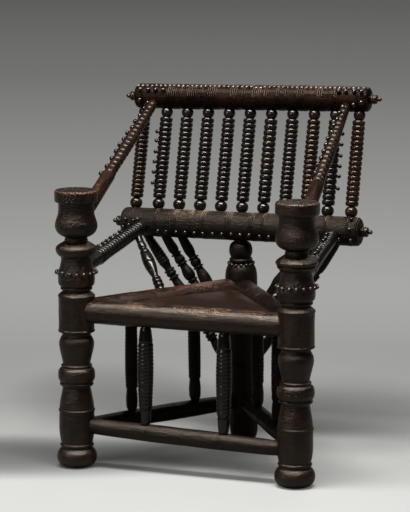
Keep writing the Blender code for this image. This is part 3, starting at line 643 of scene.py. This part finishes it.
def make_rear_post():
    place, line = member("post_rear", rear_post_point(0), rear_post_point(BACK_RAIL_Z),
                         scaled(REAR_POST), PAINTED_SHADE_OAK, scaled(REAR_LINES), soften=2, sides=64,
                         dents=70, level_foot=True)
    seen = pixel_studs(place, line, SHOULDER_BUTTON_PIXELS, *SHOULDER_BUTTON)
    height, middle = (sum(s[k] for s in seen) / len(seen) for k in (0, 1))
    radius = float(np.interp(height, line[:, 0], line[:, 1]))
    ring = [(height, middle + 2 * pi * (i - 3) / SHOULDER_COUNT, radius, *SHOULDER_BUTTON)
            for i in range(SHOULDER_COUNT)]
    studs("buttons_post_rear", "post_rear", place, ring, KNOB, BUTTON)


# Seat rails, stretchers and the spindles between them

SIDE_RAIL_WEAR = ((0.10, 0.06, 0.2), (0.34, 0.03, 0.2), (0.42, 0.05, 0.4))
SEAT_RAILS = (
    ("front", (), BROWN, 0.34, (
        (0.10, 0.06, 0.30), (0.184, 0.020, 0.42), (0.22, 0.06, 0.22), (0.307, 0.016, 0.36),
        (0.36, 0.06, 0.34), (0.427, 0.022, 0.46), (0.460, 0.012, 0.50), (0.54, 0.05, 0.42))),
    ("left", (), RED, 0.42, SIDE_RAIL_WEAR),
    ("right", ((0.330, 4), (0.430, 5)), BLACK, 0.30, SIDE_RAIL_WEAR))
STRETCHER = ((0.12, 0.0226), (0.3, 0.0244), (0.5, 0.0248), (0.7, 0.0245), (0.88, 0.0228))


def grooves(groups, pitch=0.0042, width=0.0011, depth=0.0010):
    """Incised rings in groups: (middle, how many)."""
    return [(middle + pitch * (i - (count - 1) / 2), width, -depth)
            for middle, count in groups for i in range(count)]


def bar_ends(label, level, left=0.0, right=0.0, fall=0.0, rise=0.0):
    """Ends of a bar between two posts, with its slope."""
    if label == "front":
        return front_corner(-1, level + left), front_corner(1, level - right)
    return front_corner(dict(SIDES)[label], level - fall), rear_post_point(level + rise)


def seat_rail_ends(label):
    return bar_ends(label, SEAT_Z, fall=0.004, rise=0.0065)


def stretcher_ends(label):
    return bar_ends(label, STRETCHER_Z, left=0.0067, right=0.012)


def make_seat_rails():
    for label, rings, material, top, spots in SEAT_RAILS:
        start, end = seat_rail_ends(label)
        low, high = 0.0360, (end - start).length - (0.0360 if label == "front" else 0.0330)
        points = bar_points(low, high, 0.0325, 0.004, 0.0338,
                            [(share, SEAT_RAIL_R) for share in (0.1, 0.3, 0.5, 0.7, 0.9)])
        member("seat_rail_" + label, start, end, points, material, grooves(rings), soften=2,
               spacing=0.004, sides=72, worn=0.10, peak=0.12, top=top, spots=spots, dents=320)


def make_stretchers():
    for label in BARS:
        start, end = stretcher_ends(label)
        low, high = 0.0405, (end - start).length - (0.0405 if label == "front" else 0.036)
        points = bar_points(low, high, 0.0205, 0.012, 0.0212, STRETCHER)
        rings = grooves(((0.215, 3), (0.325, 3), (0.43, 3)), depth=0.0007)
        member("stretcher_" + label, start, end, points, BLACK if label == "front" else PAINTED_SHADE_OAK,
               rings, soften=2, sides=44, worn=0.06, peak=0.3, top=0.24,
               spots=((0.2, 0.08, 0.25), (0.45, 0.1, 0.3)), dents=70)


# Heights here are ten-thousandths of the way along the spindle
UNDER_FRONT = ((0, 118), (120, 138), (350, 152), (1000, 166), (1500, -176), (1600, -164),
    (1700, -164), (1800, -184), (3000, 205), (4500, 220), (6000, 226), (7500, 218), (8300, -204),
    (8380, -190), (8500, -190), (8580, -200), (9050, 194), (9450, 182), (9720, 160), (9900, 136),
    (10000, 118))
UNDER_SIDE = ((0, 118), (180, 140), (450, 163), (900, 182), (1300, 185), (1700, 176), (2050, 156),
    (2180, -148), (2300, -148), (2380, -166), (3000, 178), (3600, 183), (5200, 186), (7000, 184),
    (8400, 176), (8850, -168), (9000, -130), (9250, -128), (9350, -150), (9550, 164), (9850, 160),
    (10000, -150))


RIB_RISE = 0.0012
FRONT_SET = (0.321, 0.679), UNDER_FRONT, (0.185, 0.825), TURNED_BLACK
SIDE_SET = (0.32, 0.70), UNDER_SIDE, (0.245, 0.88), PAINTED_SHADE_OAK


def make_under_spindles():
    for label in BARS:
        shares, table, rib_ends, material = FRONT_SET if label == "front" else SIDE_SET
        table = scaled(table)
        for count, share in enumerate(shares, start=1):
            low_a, low_b = stretcher_ends(label)
            high_a, high_b = seat_rail_ends(label)
            foot, head = low_a.lerp(low_b, share), high_a.lerp(high_b, share)
            low, high = STRETCHER_R - 0.0014, (head - foot).length - SEAT_RAIL_R + 0.0016
            span = high - low
            points = [(low - 0.004, -abs(table[0][1]))] + along_way(low, high, table) + [
                (high + 0.005, -abs(table[-1][1]))]
            ribs = even_rings(*(low + span * s for s in rib_ends), 17, RIB_RISE, 0.44)
            points = [(h, r - RIB_RISE if r > 0.0175 else r) for h, r in points]
            member("under_spindle_%s_%d" % (label, count), foot, head, points, material, ribs,
                   sides=28, worn=0.12, peak=0.35, dents=14, wobble=0.0002)


# Seat board

BOARD_TOP, BOARD_THICK = 0.465, 0.018
BOARD_STEPS = 15
BOARD_RINGS = ((224, 550, 720, -150), (224, 550, 720, -62), (300, 575, 745, -50),
               (440, 700, 860, -24), (580, 840, 980, -6), (610, 880, 1010, 0))


def corner_cut(corner, ahead, behind, inset, cut):
    """Two points that cut a corner off: on the edge ahead and on the edge behind."""
    middle = (ahead + behind).normalized()
    across = (ahead - middle * ahead.dot(middle)).normalized()
    half_angle = middle.angle(ahead)
    crossing = inset / sin(half_angle)
    reach = max(cut, crossing + 0.004)
    width = (reach - crossing) * tan(half_angle)
    return corner + middle * reach + across * width, corner + middle * reach - across * width


def board_ring(inset, front_cut, rear_cut, per_side=26):
    """Points round the board, a distance in from the rails' axes."""
    left, right = front_corner(-1, 0), front_corner(1, 0)
    rear = rear_post_point(SEAT_Z)
    rear = Vector((rear.x, rear.y, 0))
    corners = []
    for corner, ahead, behind, cut in (
            (left, right, rear, front_cut), (right, rear, left, front_cut),
            (rear, left, right, rear_cut)):
        leaving, arriving = corner_cut(
            corner, (ahead - corner).normalized(), (behind - corner).normalized(), inset, cut)
        corners += [arriving, leaving]
    points = []
    for a, b in zip(corners, corners[1:] + corners[:1]):
        steps = per_side if (b - a).length > 0.2 else 6
        points += [a.lerp(b, i / steps) for i in range(steps)]
    return points


def make_board():
    place = axis_frame(Vector((-FRONT_HALF, 0, BOARD_TOP)), Vector((FRONT_HALF, 0, BOARD_TOP)))
    loops = [[p + Vector((0, 0, BOARD_TOP + drop)) for p in board_ring(inset, front, rear)]
             for inset, front, rear, drop in scaled(BOARD_RINGS)]
    inner = loops[-1]
    centre = sum(inner, Vector()) / len(inner)
    for step in range(1, BOARD_STEPS):
        loops.append([p.lerp(centre, step / BOARD_STEPS) for p in inner])
    under = board_ring(0.0240, 0.0565, 0.0735)
    loops.insert(0, [p + Vector((0, 0, BOARD_TOP - BOARD_THICK)) for p in under])
    to_local = place.inverted()
    vertices, worn = [], []
    for k, loop in enumerate(loops):
        for p in loop:
            lift = 0.0008 * noise.noise(Vector((p.x * 9, p.y * 14, 1.3))) if k > 5 else 0
            vertices.append(to_local @ (p + Vector((0, 0, lift))))
            patch = noise.noise(Vector((p.x * 5, p.y * 7, 4.1)))
            edge = 0.22 if 3 <= k <= 6 else 0
            near_front = exp(-((p.y + 0.20) / 0.06) ** 2)
            worn.append(0.20 + 0.25 * patch + edge + 0.30 * near_front)
    vertices += [to_local @ Vector((centre.x, centre.y, BOARD_TOP - BOARD_THICK)),
                 to_local @ centre]
    worn += [0.2, 0.2]
    around = len(under)
    relief = np.zeros(len(vertices))
    # The board's edge loops count as a groove and come out darker.
    relief[:4 * around] = -0.3
    piece = mesh_piece("panelled_seat_board", vertices, skin(len(loops), around), place, BOARD,
                       relief, worn, 2.7)
    finish_piece(piece, "seat_board", True)


# Back rails and their buttons

CREST_GROUPS = ((170.5, 5), (180, 1), (190.5, 5), (201, 1), (210.5, 5), (232, 4), (242, 2),
                (255, 5), (264, 2), (277, 3), (285, 2), (299, 4), (318, 3), (334, 2))
CREST_GROUP_Y = 97
CREST_ROW_PIXEL = (200, 86.6)
CREST_ROW_PITCH = 0.01425
CREST_ROW_HALF = 0.350
CREST_END_PIXELS = (
    (140.5, 90), (148.5, 90), (156, 90), (163.4, 90.5), (140.2, 99.5), (147, 103.5),
    (338.8, 92), (346, 92), (354.4, 92), (361.8, 92.5), (361.5, 102.2), (353.8, 104.5))
RAIL_GROUPS = ((130, 1), (154, 2), (173, 3), (189, 2), (201, 3), (227, 4), (250, 3), (262, 2),
               (325, 2), (347, 2), (356, 2))
RAIL_GROUP_Y = 222
RAIL_ROW_PIXELS = (
    (157.5, 231), (166, 231.5), (176, 232), (185, 232.5), (194.2, 233), (202.7, 233.5),
    (212.5, 233.8), (221.5, 234), (231.0, 234.3), (240.0, 234.8), (249, 235.3),
    (259.5, 236.4), (268.7, 237), (278, 237.5), (287.5, 238), (297, 238.3), (306.4, 238.6),
    (315.8, 238.9), (325, 239.2), (338.5, 239.5), (350.5, 240.8))
RAIL_END_PIXELS = ((351.5, 220.5), (349.7, 229.5), (126, 219.2), (133.7, 220.5), (138, 219.5),
                   (129, 224.5), (123.5, 226.3), (141.5, 224.5))


def end_rail_points(half, radius):
    length = 2 * half
    end = [(0, -0.70 * radius), (0.0020, 0.84 * radius), (0.0060, 0.945 * radius),
           (0.0120, 0.985 * radius), (0.0200, radius)]
    middle = [(length * s, radius) for s in (0.15, 0.35, 0.5, 0.65, 0.85)]
    return end + middle + [(length - h, r) for h, r in reversed(end)]


def make_crest():
    start, end = crest_point(-CREST_HALF), crest_point(CREST_HALF)
    place = axis_frame(start, end)
    length = (end - start).length
    groups = [(pixel_on(place, CREST_R, (x, CREST_GROUP_Y))[0], n) for x, n in CREST_GROUPS]
    rings = grooves(groups, pitch=0.0060, width=0.0014, depth=0.0010)
    rings += [(middle + 0.0030, 0.0016, -1.3 * rise) for middle, _, rise in rings]
    rings += [(height, 0.002, -0.0015) for height in (0.030, length - 0.030)]
    # Lighter patches at the larger ring groups, from wear and painted highlight.
    spots = [(h, 0.012, 0.15) for h, c in groups if c > 2]
    spots += [(0.235, 0.13, 0.22), (0.36, 0.08, 0.25), (0.62, 0.09, 0.45)]
    # The crest's front ring ridges carry a painted highlight.
    _, line = member("crest_rail", start, end, end_rail_points(CREST_HALF, CREST_R), CREST, rings,
                     soften=2, spacing=0.005, sides=72, worn=-0.08, peak=1.35, top=-0.14,
                     ridge_highlight_face=(-0.15, 0.40), ridge_highlight_on_top=0.15, spots=spots, dents=160)
    _, row_angle = pixel_on(place, CREST_R, CREST_ROW_PIXEL)
    row = []
    height = length / 2 - CREST_ROW_HALF
    while height < length / 2 + CREST_ROW_HALF:
        flat = 0.45 if 0.372 < height < 0.402 else 1
        size, rise = CREST_ROW_BUTTON
        row.append((height, row_angle, CREST_R, size, rise * flat))
        height += CREST_ROW_PITCH + rng.normal(0, 0.0004)
    # The crest's row of domes is nearly all pale, partly as painted highlight.
    studs("button_row_crest", "crest_rail", place, row, DOME, ROW_PAINTED_HIGHLIGHT, worn=0.95)
    ends = pixel_studs(place, line, CREST_END_PIXELS, *CREST_END_BUTTON)
    studs("end_buttons_crest", "crest_rail", place, ends, KNOB, BUTTON)


def make_back_rail():
    start, end = back_rail_point(-BACK_RAIL_HALF), back_rail_point(BACK_RAIL_HALF)
    place = axis_frame(start, end)
    groups = [(pixel_on(place, BACK_RAIL_R, (x, RAIL_GROUP_Y))[0], n) for x, n in RAIL_GROUPS]
    rings = grooves(groups, pitch=0.0056, width=0.0014, depth=0.0012)
    rings += [(middle + 0.0028, width, -0.8 * rise) for middle, width, rise in rings]
    spots = ((0.20, 0.07, 0.55), (0.30, 0.07, 0.45), (0.42, 0.05, 0.35), (0.60, 0.10, 0.3),
             (0.08, 0.04, 0.3))
    _, line = member("back_rail_lower", start, end, end_rail_points(BACK_RAIL_HALF, BACK_RAIL_R),
                     DRY, rings, soften=2, spacing=0.005, sides=64, worn=-0.05, peak=1.1,
                     top=0.24, spots=spots, dents=120)
    row = pixel_studs(place, line, RAIL_ROW_PIXELS, *RAIL_ROW_BUTTON)
    studs("button_row_rail", "back_rail_lower", place, row, DOME, ROW_PAINTED_HIGHLIGHT, worn=0.45)
    ends = pixel_studs(place, line, RAIL_END_PIXELS, *RAIL_END_BUTTON)
    studs("end_buttons_rail", "back_rail_lower", place, ends, KNOB, BUTTON)


FINIAL_LENGTH = 0.0345
FINIAL_STUB = ((-30, -50), (-1, -50))
FINIAL_DISC = {
        "rail": ((0, -129), (8, 141), (25, 147), (175, 147), (205, 132), (214, -62), (228, -50),
        (245, 61), (272, 66), (300, 63), (328, 46), (345, -18)),
        "crest": ((0, -123), (10, 134), (30, 137), (170, 137), (198, 124), (212, -62), (226, -52),
        (244, 62), (270, 66), (300, 62), (328, 42), (345, -16))}
FINIAL_RING = ((95, 12, -12),)


def make_finials():
    for label, side in SIDES:
        for rail, point_at, half in (
                ("rail", back_rail_point, BACK_RAIL_HALF), ("crest", crest_point, CREST_HALF)):
            edge, middle = point_at(side * half), point_at(0)
            outward = (edge - middle).normalized()
            member("finial_%s_%s" % (rail, label), edge, edge + outward * FINIAL_LENGTH,
                   scaled(FINIAL_STUB + FINIAL_DISC[rail]), BROWN, scaled(FINIAL_RING), peak=0.3,
                   top=0.2, dents=4, wobble=0.0001)


# Back spindles

SPINDLE_VALLEY = 0.0146
BEAD_R = 0.0192
SPINDLES = (
    (-1.0, TURNED_BROWN, 18), (-0.786, TURNED_BLACK, 17), (-0.591, TURNED_BLACK, 17),
    (-0.394, TURNED_BLACK, 17), (-0.197, TURNED_BLACK, 17), (0.0, TURNED_BLACK, 17),
    (0.197, TURNED_BLACK, 15), (0.394, TURNED_BLACK, 18), (0.591, TURNED_BROWN, 17),
    (0.786, TURNED_BLACK, 16), (1.0, TURNED_RED, 17))
SPINDLE_BUTTON_PIXELS = {
    2: ((157, 131.5), (155, 140.5), (154.5, 151.5), (153.5, 161.5), (152.5, 172), (152.5, 182.5)),
    10: ((343.9, 134), (343.9, 145), (342.5, 156), (341.6, 166.4), (341, 176.5), (339.7, 188.6))}


def ball_points(middle, radius, half, low, high, count):
    """Points of a ball's outline between two shares of a quarter turn."""
    angles = [t * pi / 2 for t in np.linspace(low, high, count)]
    return [(middle + half * sin(angle), radius * cos(angle)) for angle in angles]


def spindle_points(length, beads):
    """Ball, beads and ball between the two rails."""
    low, high = BACK_RAIL_R, length - CREST_R
    points = [(low - 0.0060, -0.0095), (low + 0.0006, -0.0110)]
    points += ball_points(low + 0.0142, 0.0186, 0.0178, -0.56, 0.70, 9)
    bead_low, bead_high = low + 0.0310, high - 0.0262
    points.append((bead_low, -0.0098))
    pitch = (bead_high - bead_low) / beads
    for count in range(beads):
        swell = 1 + 0.03 * sin(pi * (count + 0.5) / beads)
        middle = bead_low + pitch * (count + 0.5)
        rise = BEAD_R * swell - SPINDLE_VALLEY
        points += [(middle + pitch * 0.5 * t, SPINDLE_VALLEY + rise * (1 - t * t) ** 0.5)
                   for t in (-0.93, -0.78, -0.55, -0.28, 0, 0.28, 0.55, 0.78, 0.93)]
        points.append((middle + pitch * 0.5, -SPINDLE_VALLEY))
    points += ball_points(high - 0.0108, 0.0176, 0.0176, -0.68, 0.44, 8)
    return points + [(high + 0.0016, -0.0110), (high + 0.0060, -0.0090)]


def make_back_spindles():
    for count, (share, tone, beads) in enumerate(SPINDLES, start=1):
        foot, head = back_rail_point(share * SPINDLE_HALF), crest_point(share * SPINDLE_HALF)
        node = "back_spindle_%02d" % count
        place, line = member(node, foot, head, spindle_points((head - foot).length, beads), tone,
                             sides=36, worn=0.06, peak=0.20, top=0.25, dents=3, wobble=0.00012)
        if count in SPINDLE_BUTTON_PIXELS:
            seen = pixel_studs(place, line, SPINDLE_BUTTON_PIXELS[count], *SPINDLE_BUTTON)
            spots = [(h, a, 0.0184, size, rise) for h, a, _, size, rise in seen]
            studs("buttons_" + node, node, place, spots, KNOB, BUTTON)


# Arms

UPPER_ARM_BUTTON_PIXELS = {
    "left": ((147.2, 102.7), (143.2, 108.2), (138, 114.6), (133.5, 120.4), (130.4, 126.4),
             (126.5, 132.3), (122, 138.2), (118.5, 144.2), (114.2, 150.4), (110.2, 157.5),
             (105.4, 165.4), (99.6, 172.3)),
    "right": ((342.5, 107), (339.7, 112.7), (336.8, 119.6), (334, 125.5), (331.5, 132),
              (328.4, 138.7), (326.1, 145.2), (324, 151.7), (321.5, 158.4), (318, 164.7),
              (314.9, 172.8), (311.4, 181.4))}
LOWER_ARM_BUTTON_PIXELS = {
    "left": ((96.5, 244), (101, 241), (105, 238.5), (109, 235.8), (113.5, 232.8), (118, 229.3)),
    "right": ((314.8, 254.6), (317.6, 251.6), (319.4, 248.8), (323.1, 241.5), (325.3, 238.9),
              (327.2, 235.8), (332.5, 228))}
ARM_RING_RISE = 0.0028
UPPER_ARM_SHARE = 0.888
LOWER_ARM_SHARE = 0.873


def arm_piece(node, start, end, points, rings, material, pixels, button, **look):
    """An arm with its rings and its buttons."""
    place, line = member(node, start, end, points, material, rings, dents=20, wobble=0.0002,
                         **look)
    studs("buttons_" + node, node, place, pixel_studs(place, line, pixels, *button), KNOB, BUTTON)


def make_upper_arm(label, side):
    start = front_corner(side, UPPER_ARM_Z)
    end = crest_point(side * UPPER_ARM_SHARE * SPINDLE_HALF)
    low, high = 0.046, (end - start).length - CREST_R + 0.009
    span = high - low
    swell = UPPER_ARM_R - UPPER_ARM_HEAD_R
    points = [(low, -UPPER_ARM_R), (low + 0.08 * span, UPPER_ARM_HEAD_R + 0.98 * swell),
              (low + 0.348 * span, -(UPPER_ARM_HEAD_R + 0.88 * swell))]
    points += along_way(low, high, [(s, UPPER_ARM_HEAD_R - ARM_RING_RISE + swell * k)
                                    for s, k in ((0.35, 0.88), (0.60, 0.60), (0.85, 0.20))])
    points.append((high, -(UPPER_ARM_HEAD_R - ARM_RING_RISE)))
    rings = even_rings(low + 0.355 * span, low + 0.985 * span, 18, ARM_RING_RISE, 0.48)
    spots = ((low + 0.17 * span, 0.035, 0.55), (low + 0.38 * span, 0.03, 0.35))
    arm_piece("upper_arm_" + label, start, end, points, rings, ARM, UPPER_ARM_BUTTON_PIXELS[label],
              UPPER_ARM_BUTTON, sides=36, worn=0.14, top=0.20, spots=spots)


def lower_arm_ends(side):
    rail_end = back_rail_point(side * LOWER_ARM_SHARE * SPINDLE_HALF)
    return front_corner(side, LOWER_ARM_Z), rail_end


def make_lower_arm(label, side):
    start, end = lower_arm_ends(side)
    low, high = 0.040, (end - start).length - BACK_RAIL_R + 0.007
    span = high - low
    points = [(low, -0.0206)]
    points += [(low + span * s, LOWER_ARM_R * k) for s, k in ((0.10, 0.965), (0.20, 0.975))]
    points.append((low + 0.232 * span, -LOWER_ARM_R * 0.98))
    points += [(low + span * s, LOWER_ARM_R * k - ARM_RING_RISE)
               for s, k in ((0.40, 1.0), (0.70, 0.98), (0.90, 0.94))]
    points.append((high, -(0.0202 - ARM_RING_RISE)))
    rings = even_rings(low + 0.235 * span, low + 0.95 * span, 18, ARM_RING_RISE, 0.49)
    arm_piece("lower_arm_" + label, start, end, points, rings, TURNED_BLACK,
              LOWER_ARM_BUTTON_PIXELS[label], LOWER_ARM_BUTTON, sides=40, worn=0.12, peak=0.35,
              top=0.32)


# Side spindles and braces

# Heights here are ten-thousandths of the way along the spindle
SIDE_SPINDLE = ((0, -118), (500, 118), (750, -98), (850, 138), (1150, 140), (1250, -98),
    (1380, -98), (1480, 136), (1780, 138), (1880, -96), (2000, -96), (2100, 132), (2350, 130),
    (2470, -94), (2650, -94), (3100, 118), (3700, 146), (4300, 170), (4720, -180), (4780, -150),
    (4920, -150), (4980, -182), (5400, 182), (6000, 172), (6550, -152), (6620, -140),
    (6720, -140), (6800, -148), (7100, 130), (7350, -94), (7500, -94), (7620, 118), (8000, 124),
    (8350, 120), (8500, -106), (8700, 108), (9300, 114), (10000, -112))
BRACES = (((0, -110), (550, 116), (1050, 144), (1350, 154), (1520, 138), (1600, -116),
    (1670, -114), (1680, -166), (1735, -166), (1745, -120), (1765, 148), (1810, 158), (1860, 148),
    (1885, -118), (1925, -116), (1935, -164), (1985, -164), (1995, -118), (2080, 124),
    (2350, 154), (2650, 182), (2895, 192)), ((0, -112), (450, 120), (780, 148), (940, 153),
    (1010, -130), (1065, -118), (1070, -164), (1115, -164), (1120, -118), (1190, 136),
    (1280, 158), (1350, 150), (1385, -120), (1400, -162), (1450, -162), (1460, -116), (1540, 124),
    (1680, 162), (1800, 176), (1900, 156), (1965, -118), (1980, -160), (2025, -160), (2040, -116),
    (2180, 140), (2300, 160), (2395, 164)), ((0, -112), (400, 118), (720, 146), (900, 153),
    (1020, 134), (1080, -114), (1135, -114), (1140, -162), (1185, -162), (1190, -118),
    (1240, 146), (1300, 157), (1370, 145), (1425, -116), (1440, -162), (1485, -162), (1495, -116),
    (1580, 132), (1740, 168), (1880, 180), (2000, 172), (2065, 168)))
BRACE_TOPS = (0.961, 0.787, 0.622)
BRACE_FEET = {"left": (0.344, 0.523, 0.620), "right": (0.412, 0.523, 0.620)}


def make_side_spindles():
    for label, side in SIDES:
        rail, arm = seat_rail_ends(label), lower_arm_ends(side)
        foot, head = rail[0].lerp(rail[1], 0.525), arm[0].lerp(arm[1], 0.82)
        low, high = SEAT_RAIL_R - 0.006, (head - foot).length - LOWER_ARM_R + 0.006
        points = along_way(low, high, scaled(SIDE_SPINDLE))
        spots = [(low + s * (high - low), half, 0.2) for s, half in ((0.06, 0.02), (0.6, 0.03))]
        member("side_spindle_" + label, foot, head, points, TURNED_BLACK, peak=0.35, top=0.2,
               spots=spots, dents=10, wobble=0.0002)


def make_braces():
    for label, side in SIDES:
        for count, table in enumerate(BRACES):
            table = scaled(table)
            head = back_rail_point(side * BRACE_TOPS[count] * SPINDLE_HALF)
            foot = rear_post_point(BRACE_FEET[label][count] * SEAT_Z)
            length = (foot - head).length
            stretch = length / 2 / table[-1][0]
            points = [(BACK_RAIL_R - 0.010, -0.0112)]
            points += [(h * stretch, r) for h, r in table if h * stretch > BACK_RAIL_R]
            points += [(length - h * stretch, r) for h, r in reversed(table[:-1])
                       if h * stretch > REAR_BLOCK_R + 0.004]
            points.append((length - REAR_BLOCK_R / 2 / abs((head - foot).normalized().x) - 0.003,
                           -0.0112))
            kept = [points[0]]
            for point in points[1:]:
                if point[0] > kept[-1][0]:
                    kept.append(point)
            ribs = even_rings(0.056, 0.148, 9, 0.0013, 0.44) if count == 0 else ()
            member("brace_%s_%d" % (label, count + 1), head, foot, kept, PAINTED_SHADE_OAK, ribs, sides=28,
                   peak=0.4, top=0.25, dents=10, wobble=0.0002)


for label, side in SIDES:
    make_front_post(label, side)
make_rear_post()
make_seat_rails()
make_stretchers()
make_under_spindles()
make_board()
make_crest()
make_back_rail()
make_finials()
make_back_spindles()
for label, side in SIDES:
    make_upper_arm(label, side)
    make_lower_arm(label, side)
make_side_spindles()
make_braces()


# Floor, lamps, world and camera

FLOOR_RADII = (0.4, 1.0, 2.0, 4.0, 8.0, 16.0, 32.0, 60.0)
FLOOR_RADIUS = FLOOR_RADII[-1]
FLOOR_SIDES = 96
# The near floor also glows its own colour for the camera: painted light that lifts its shadows.
PAINTED_FLOOR_GLOW = 0.26
FLOOR_BOUNCE = rgb(0.14, 0.14, 0.137)
LAMP_TINT = (1.0, 0.955, 0.89)
# Painted shadows on the floor: frame point of the middle, reach across and away in metres,
# strength.
PAINTED_SHADOWS = (((6, 456), (0.62, 0.24), 0.72), ((112, 396), (0.30, 0.50), 0.26),
          ((352, 412), (0.34, 0.50), 0.24))
# Near floor grey by distance behind the chair's middle; the dip behind the chair, lowest near 0.7
# m, is a painted shadow.
NEAR_FLOOR_PAINTED_SHADE = ((-1.0, 0.40), (-0.25, 0.39), (0.2, 0.30), (0.7, 0.23), (1.6, 0.26), (3.0, 0.41))
# Far floor grey by distance, shown as a glow: painted darkening with distance, standing for the
# lamps' light falling off.
FAR_FLOOR_PAINTED_FALLOFF = ((0.0, 0.42), (1.9, 0.41), (3.0, 0.39), (6.1, 0.285), (12.0, 0.172), (21.5, 0.112),
             (60.0, 0.09))


def grey_ramp(add, feed, value, stops):
    """A slightly warm grey that changes along a value."""
    ramp = add("ShaderNodeValToRGB")
    elements = ramp.color_ramp.elements
    while len(elements) < len(stops):
        elements.new(0.5)
    for element, (position, _) in zip(elements, stops):
        element.position = position
    for element, (_, level) in zip(elements, stops):
        element.color = rgb(level, level * 0.995, level * 0.965)
    return feed(ramp, {"Fac": value})["Color"]


def make_floor():
    mesh = bpy.data.meshes.new("studio_floor")
    angles = np.linspace(0, 2 * pi, FLOOR_SIDES, endpoint=False)
    index = 1 + np.arange(len(FLOOR_RADII) * FLOOR_SIDES).reshape(-1, FLOOR_SIDES)
    after = np.roll(index, -1, 1)
    faces = []
    for a, b in zip(index.T.tolist(), after.T.tolist()):
        faces += [(0, a[0], b[0])] + list(zip(a, a[1:], b[1:], b))
    mesh.from_pydata([(0, 0, 0)] + [(r * cos(a), r * sin(a), 0)
                                    for r in FLOOR_RADII for a in angles], [], faces)
    (material, shader, coords, add, feed, maths, times, vectors, mix,
     spread) = node_tools("pale_floor")
    across = (cos(CAMERA_YAW), sin(CAMERA_YAW), 0)
    away = (-sin(CAMERA_YAW), cos(CAMERA_YAW), 0)
    distance = vectors("LENGTH", coords, output="Value")
    behind = vectors("DOT_PRODUCT", coords, away, output="Value")
    near = grey_ramp(add, feed, maths("MULTIPLY_ADD", behind, 0.25, 0.25),
                     [((d + 1) / 4, value) for d, value in NEAR_FLOOR_PAINTED_SHADE])
    # Each painted shadow darkens the near floor's colour in a soft patch.
    for pixel, reach, strength in PAINTED_SHADOWS:
        ray = pixel_ray(pixel)
        offset = vectors("SUBTRACT", coords, tuple(CAMERA_PLACE - ray * (CAMERA_PLACE.z / ray.z)))
        parts = []
        for size, direction in zip(reach, (across, away)):
            along = vectors("DOT_PRODUCT", offset, direction, output="Value")
            share = maths("ABSOLUTE", maths("DIVIDE", along, size))
            parts.append(maths("POWER", share, 2.0))
        painted_shadow_mask = maths("SUBTRACT", 1.0, spread(maths("ADD", *parts), 0.0, 1.6))
        near = mix(times(painted_shadow_mask, strength), near, rgb(0.02, 0.02, 0.0195))
    path = add("ShaderNodeLightPath").outputs
    seen = path["Is Camera Ray"]
    feed(shader, {
        "Base Color": mix(seen, FLOOR_BOUNCE, vectors("DIVIDE", near, LAMP_TINT)),
        "Emission Color": near, "Emission Strength": times(seen, PAINTED_FLOOR_GLOW),
        "Roughness": 0.62, "Specular IOR Level": 0.25})
    share = maths("POWER", maths("DIVIDE", distance, FLOOR_RADIUS), 0.4)
    far = grey_ramp(add, feed, share,
                    [((d / FLOOR_RADIUS) ** 0.4, value) for d, value in FAR_FLOOR_PAINTED_FALLOFF])
    far_painted_glow = feed(add("ShaderNodeEmission"), {"Color": far})
    mirrored = times(path["Is Glossy Ray"], spread(behind, 0.0, 2.5))
    shown = maths("ADD", seen, mirrored, clamp=True)
    factor = times(spread(distance, 1.2, 3.6), shown)
    blend = feed(add("ShaderNodeMixShader"), {0: factor, 1: shader.outputs[0], 2: far_painted_glow[0]})
    feed(material.node_tree.nodes["Material Output"], {"Surface": blend[0]})
    mesh.materials.append(material)
    floor = new_object("studio_floor", mesh)


def area_lamp(name, place, target_height, width, depth, power):
    data = bpy.data.lights.new(name, "AREA")
    data.shape = "RECTANGLE"
    data.size, data.size_y = width, depth
    data.energy = power
    data.color = LAMP_TINT
    lamp = new_object(name, data)
    lamp.location = place
    toward = Vector((0, 0, target_height)) - Vector(place)
    lamp.rotation_euler = toward.to_track_quat("-Z", "Y").to_euler()


def make_world():
    world = bpy.data.worlds.new("studio_world")
    world.use_nodes = True
    background = world.node_tree.nodes["Background"]
    background.inputs["Color"].default_value = rgb(0.034, 0.034, 0.0335)
    background.inputs["Strength"].default_value = 1.0
    bpy.context.scene.world = world


def make_camera():
    data = bpy.data.cameras.new("camera")
    data.sensor_width = SENSOR_WIDTH
    data.lens = FOCAL_PIXELS * SENSOR_WIDTH / FRAME_HEIGHT
    data.clip_start, data.clip_end = 0.1, 200.0
    camera = new_object("camera", data)
    right, up, forward = camera_axes()
    rotation = Matrix((right, up, -forward)).transposed()
    camera.matrix_world = Matrix.Translation(CAMERA_PLACE) @ rotation.to_4x4()
    bpy.context.scene.camera = camera


make_floor()
make_world()
make_camera()
area_lamp("key_lamp", (0.10, -0.95, 3.6), 0.5, 2.8, 0.8, 235)
area_lamp("fill_lamp", (-1.7, -3.2, 2.1), 0.6, 1.2, 0.4, 30)
area_lamp("back_lamp", (0.2, 3.6, 2.8), 0.6, 3.0, 1.0, 26)
bpy.context.scene.view_settings.view_transform = "Standard"
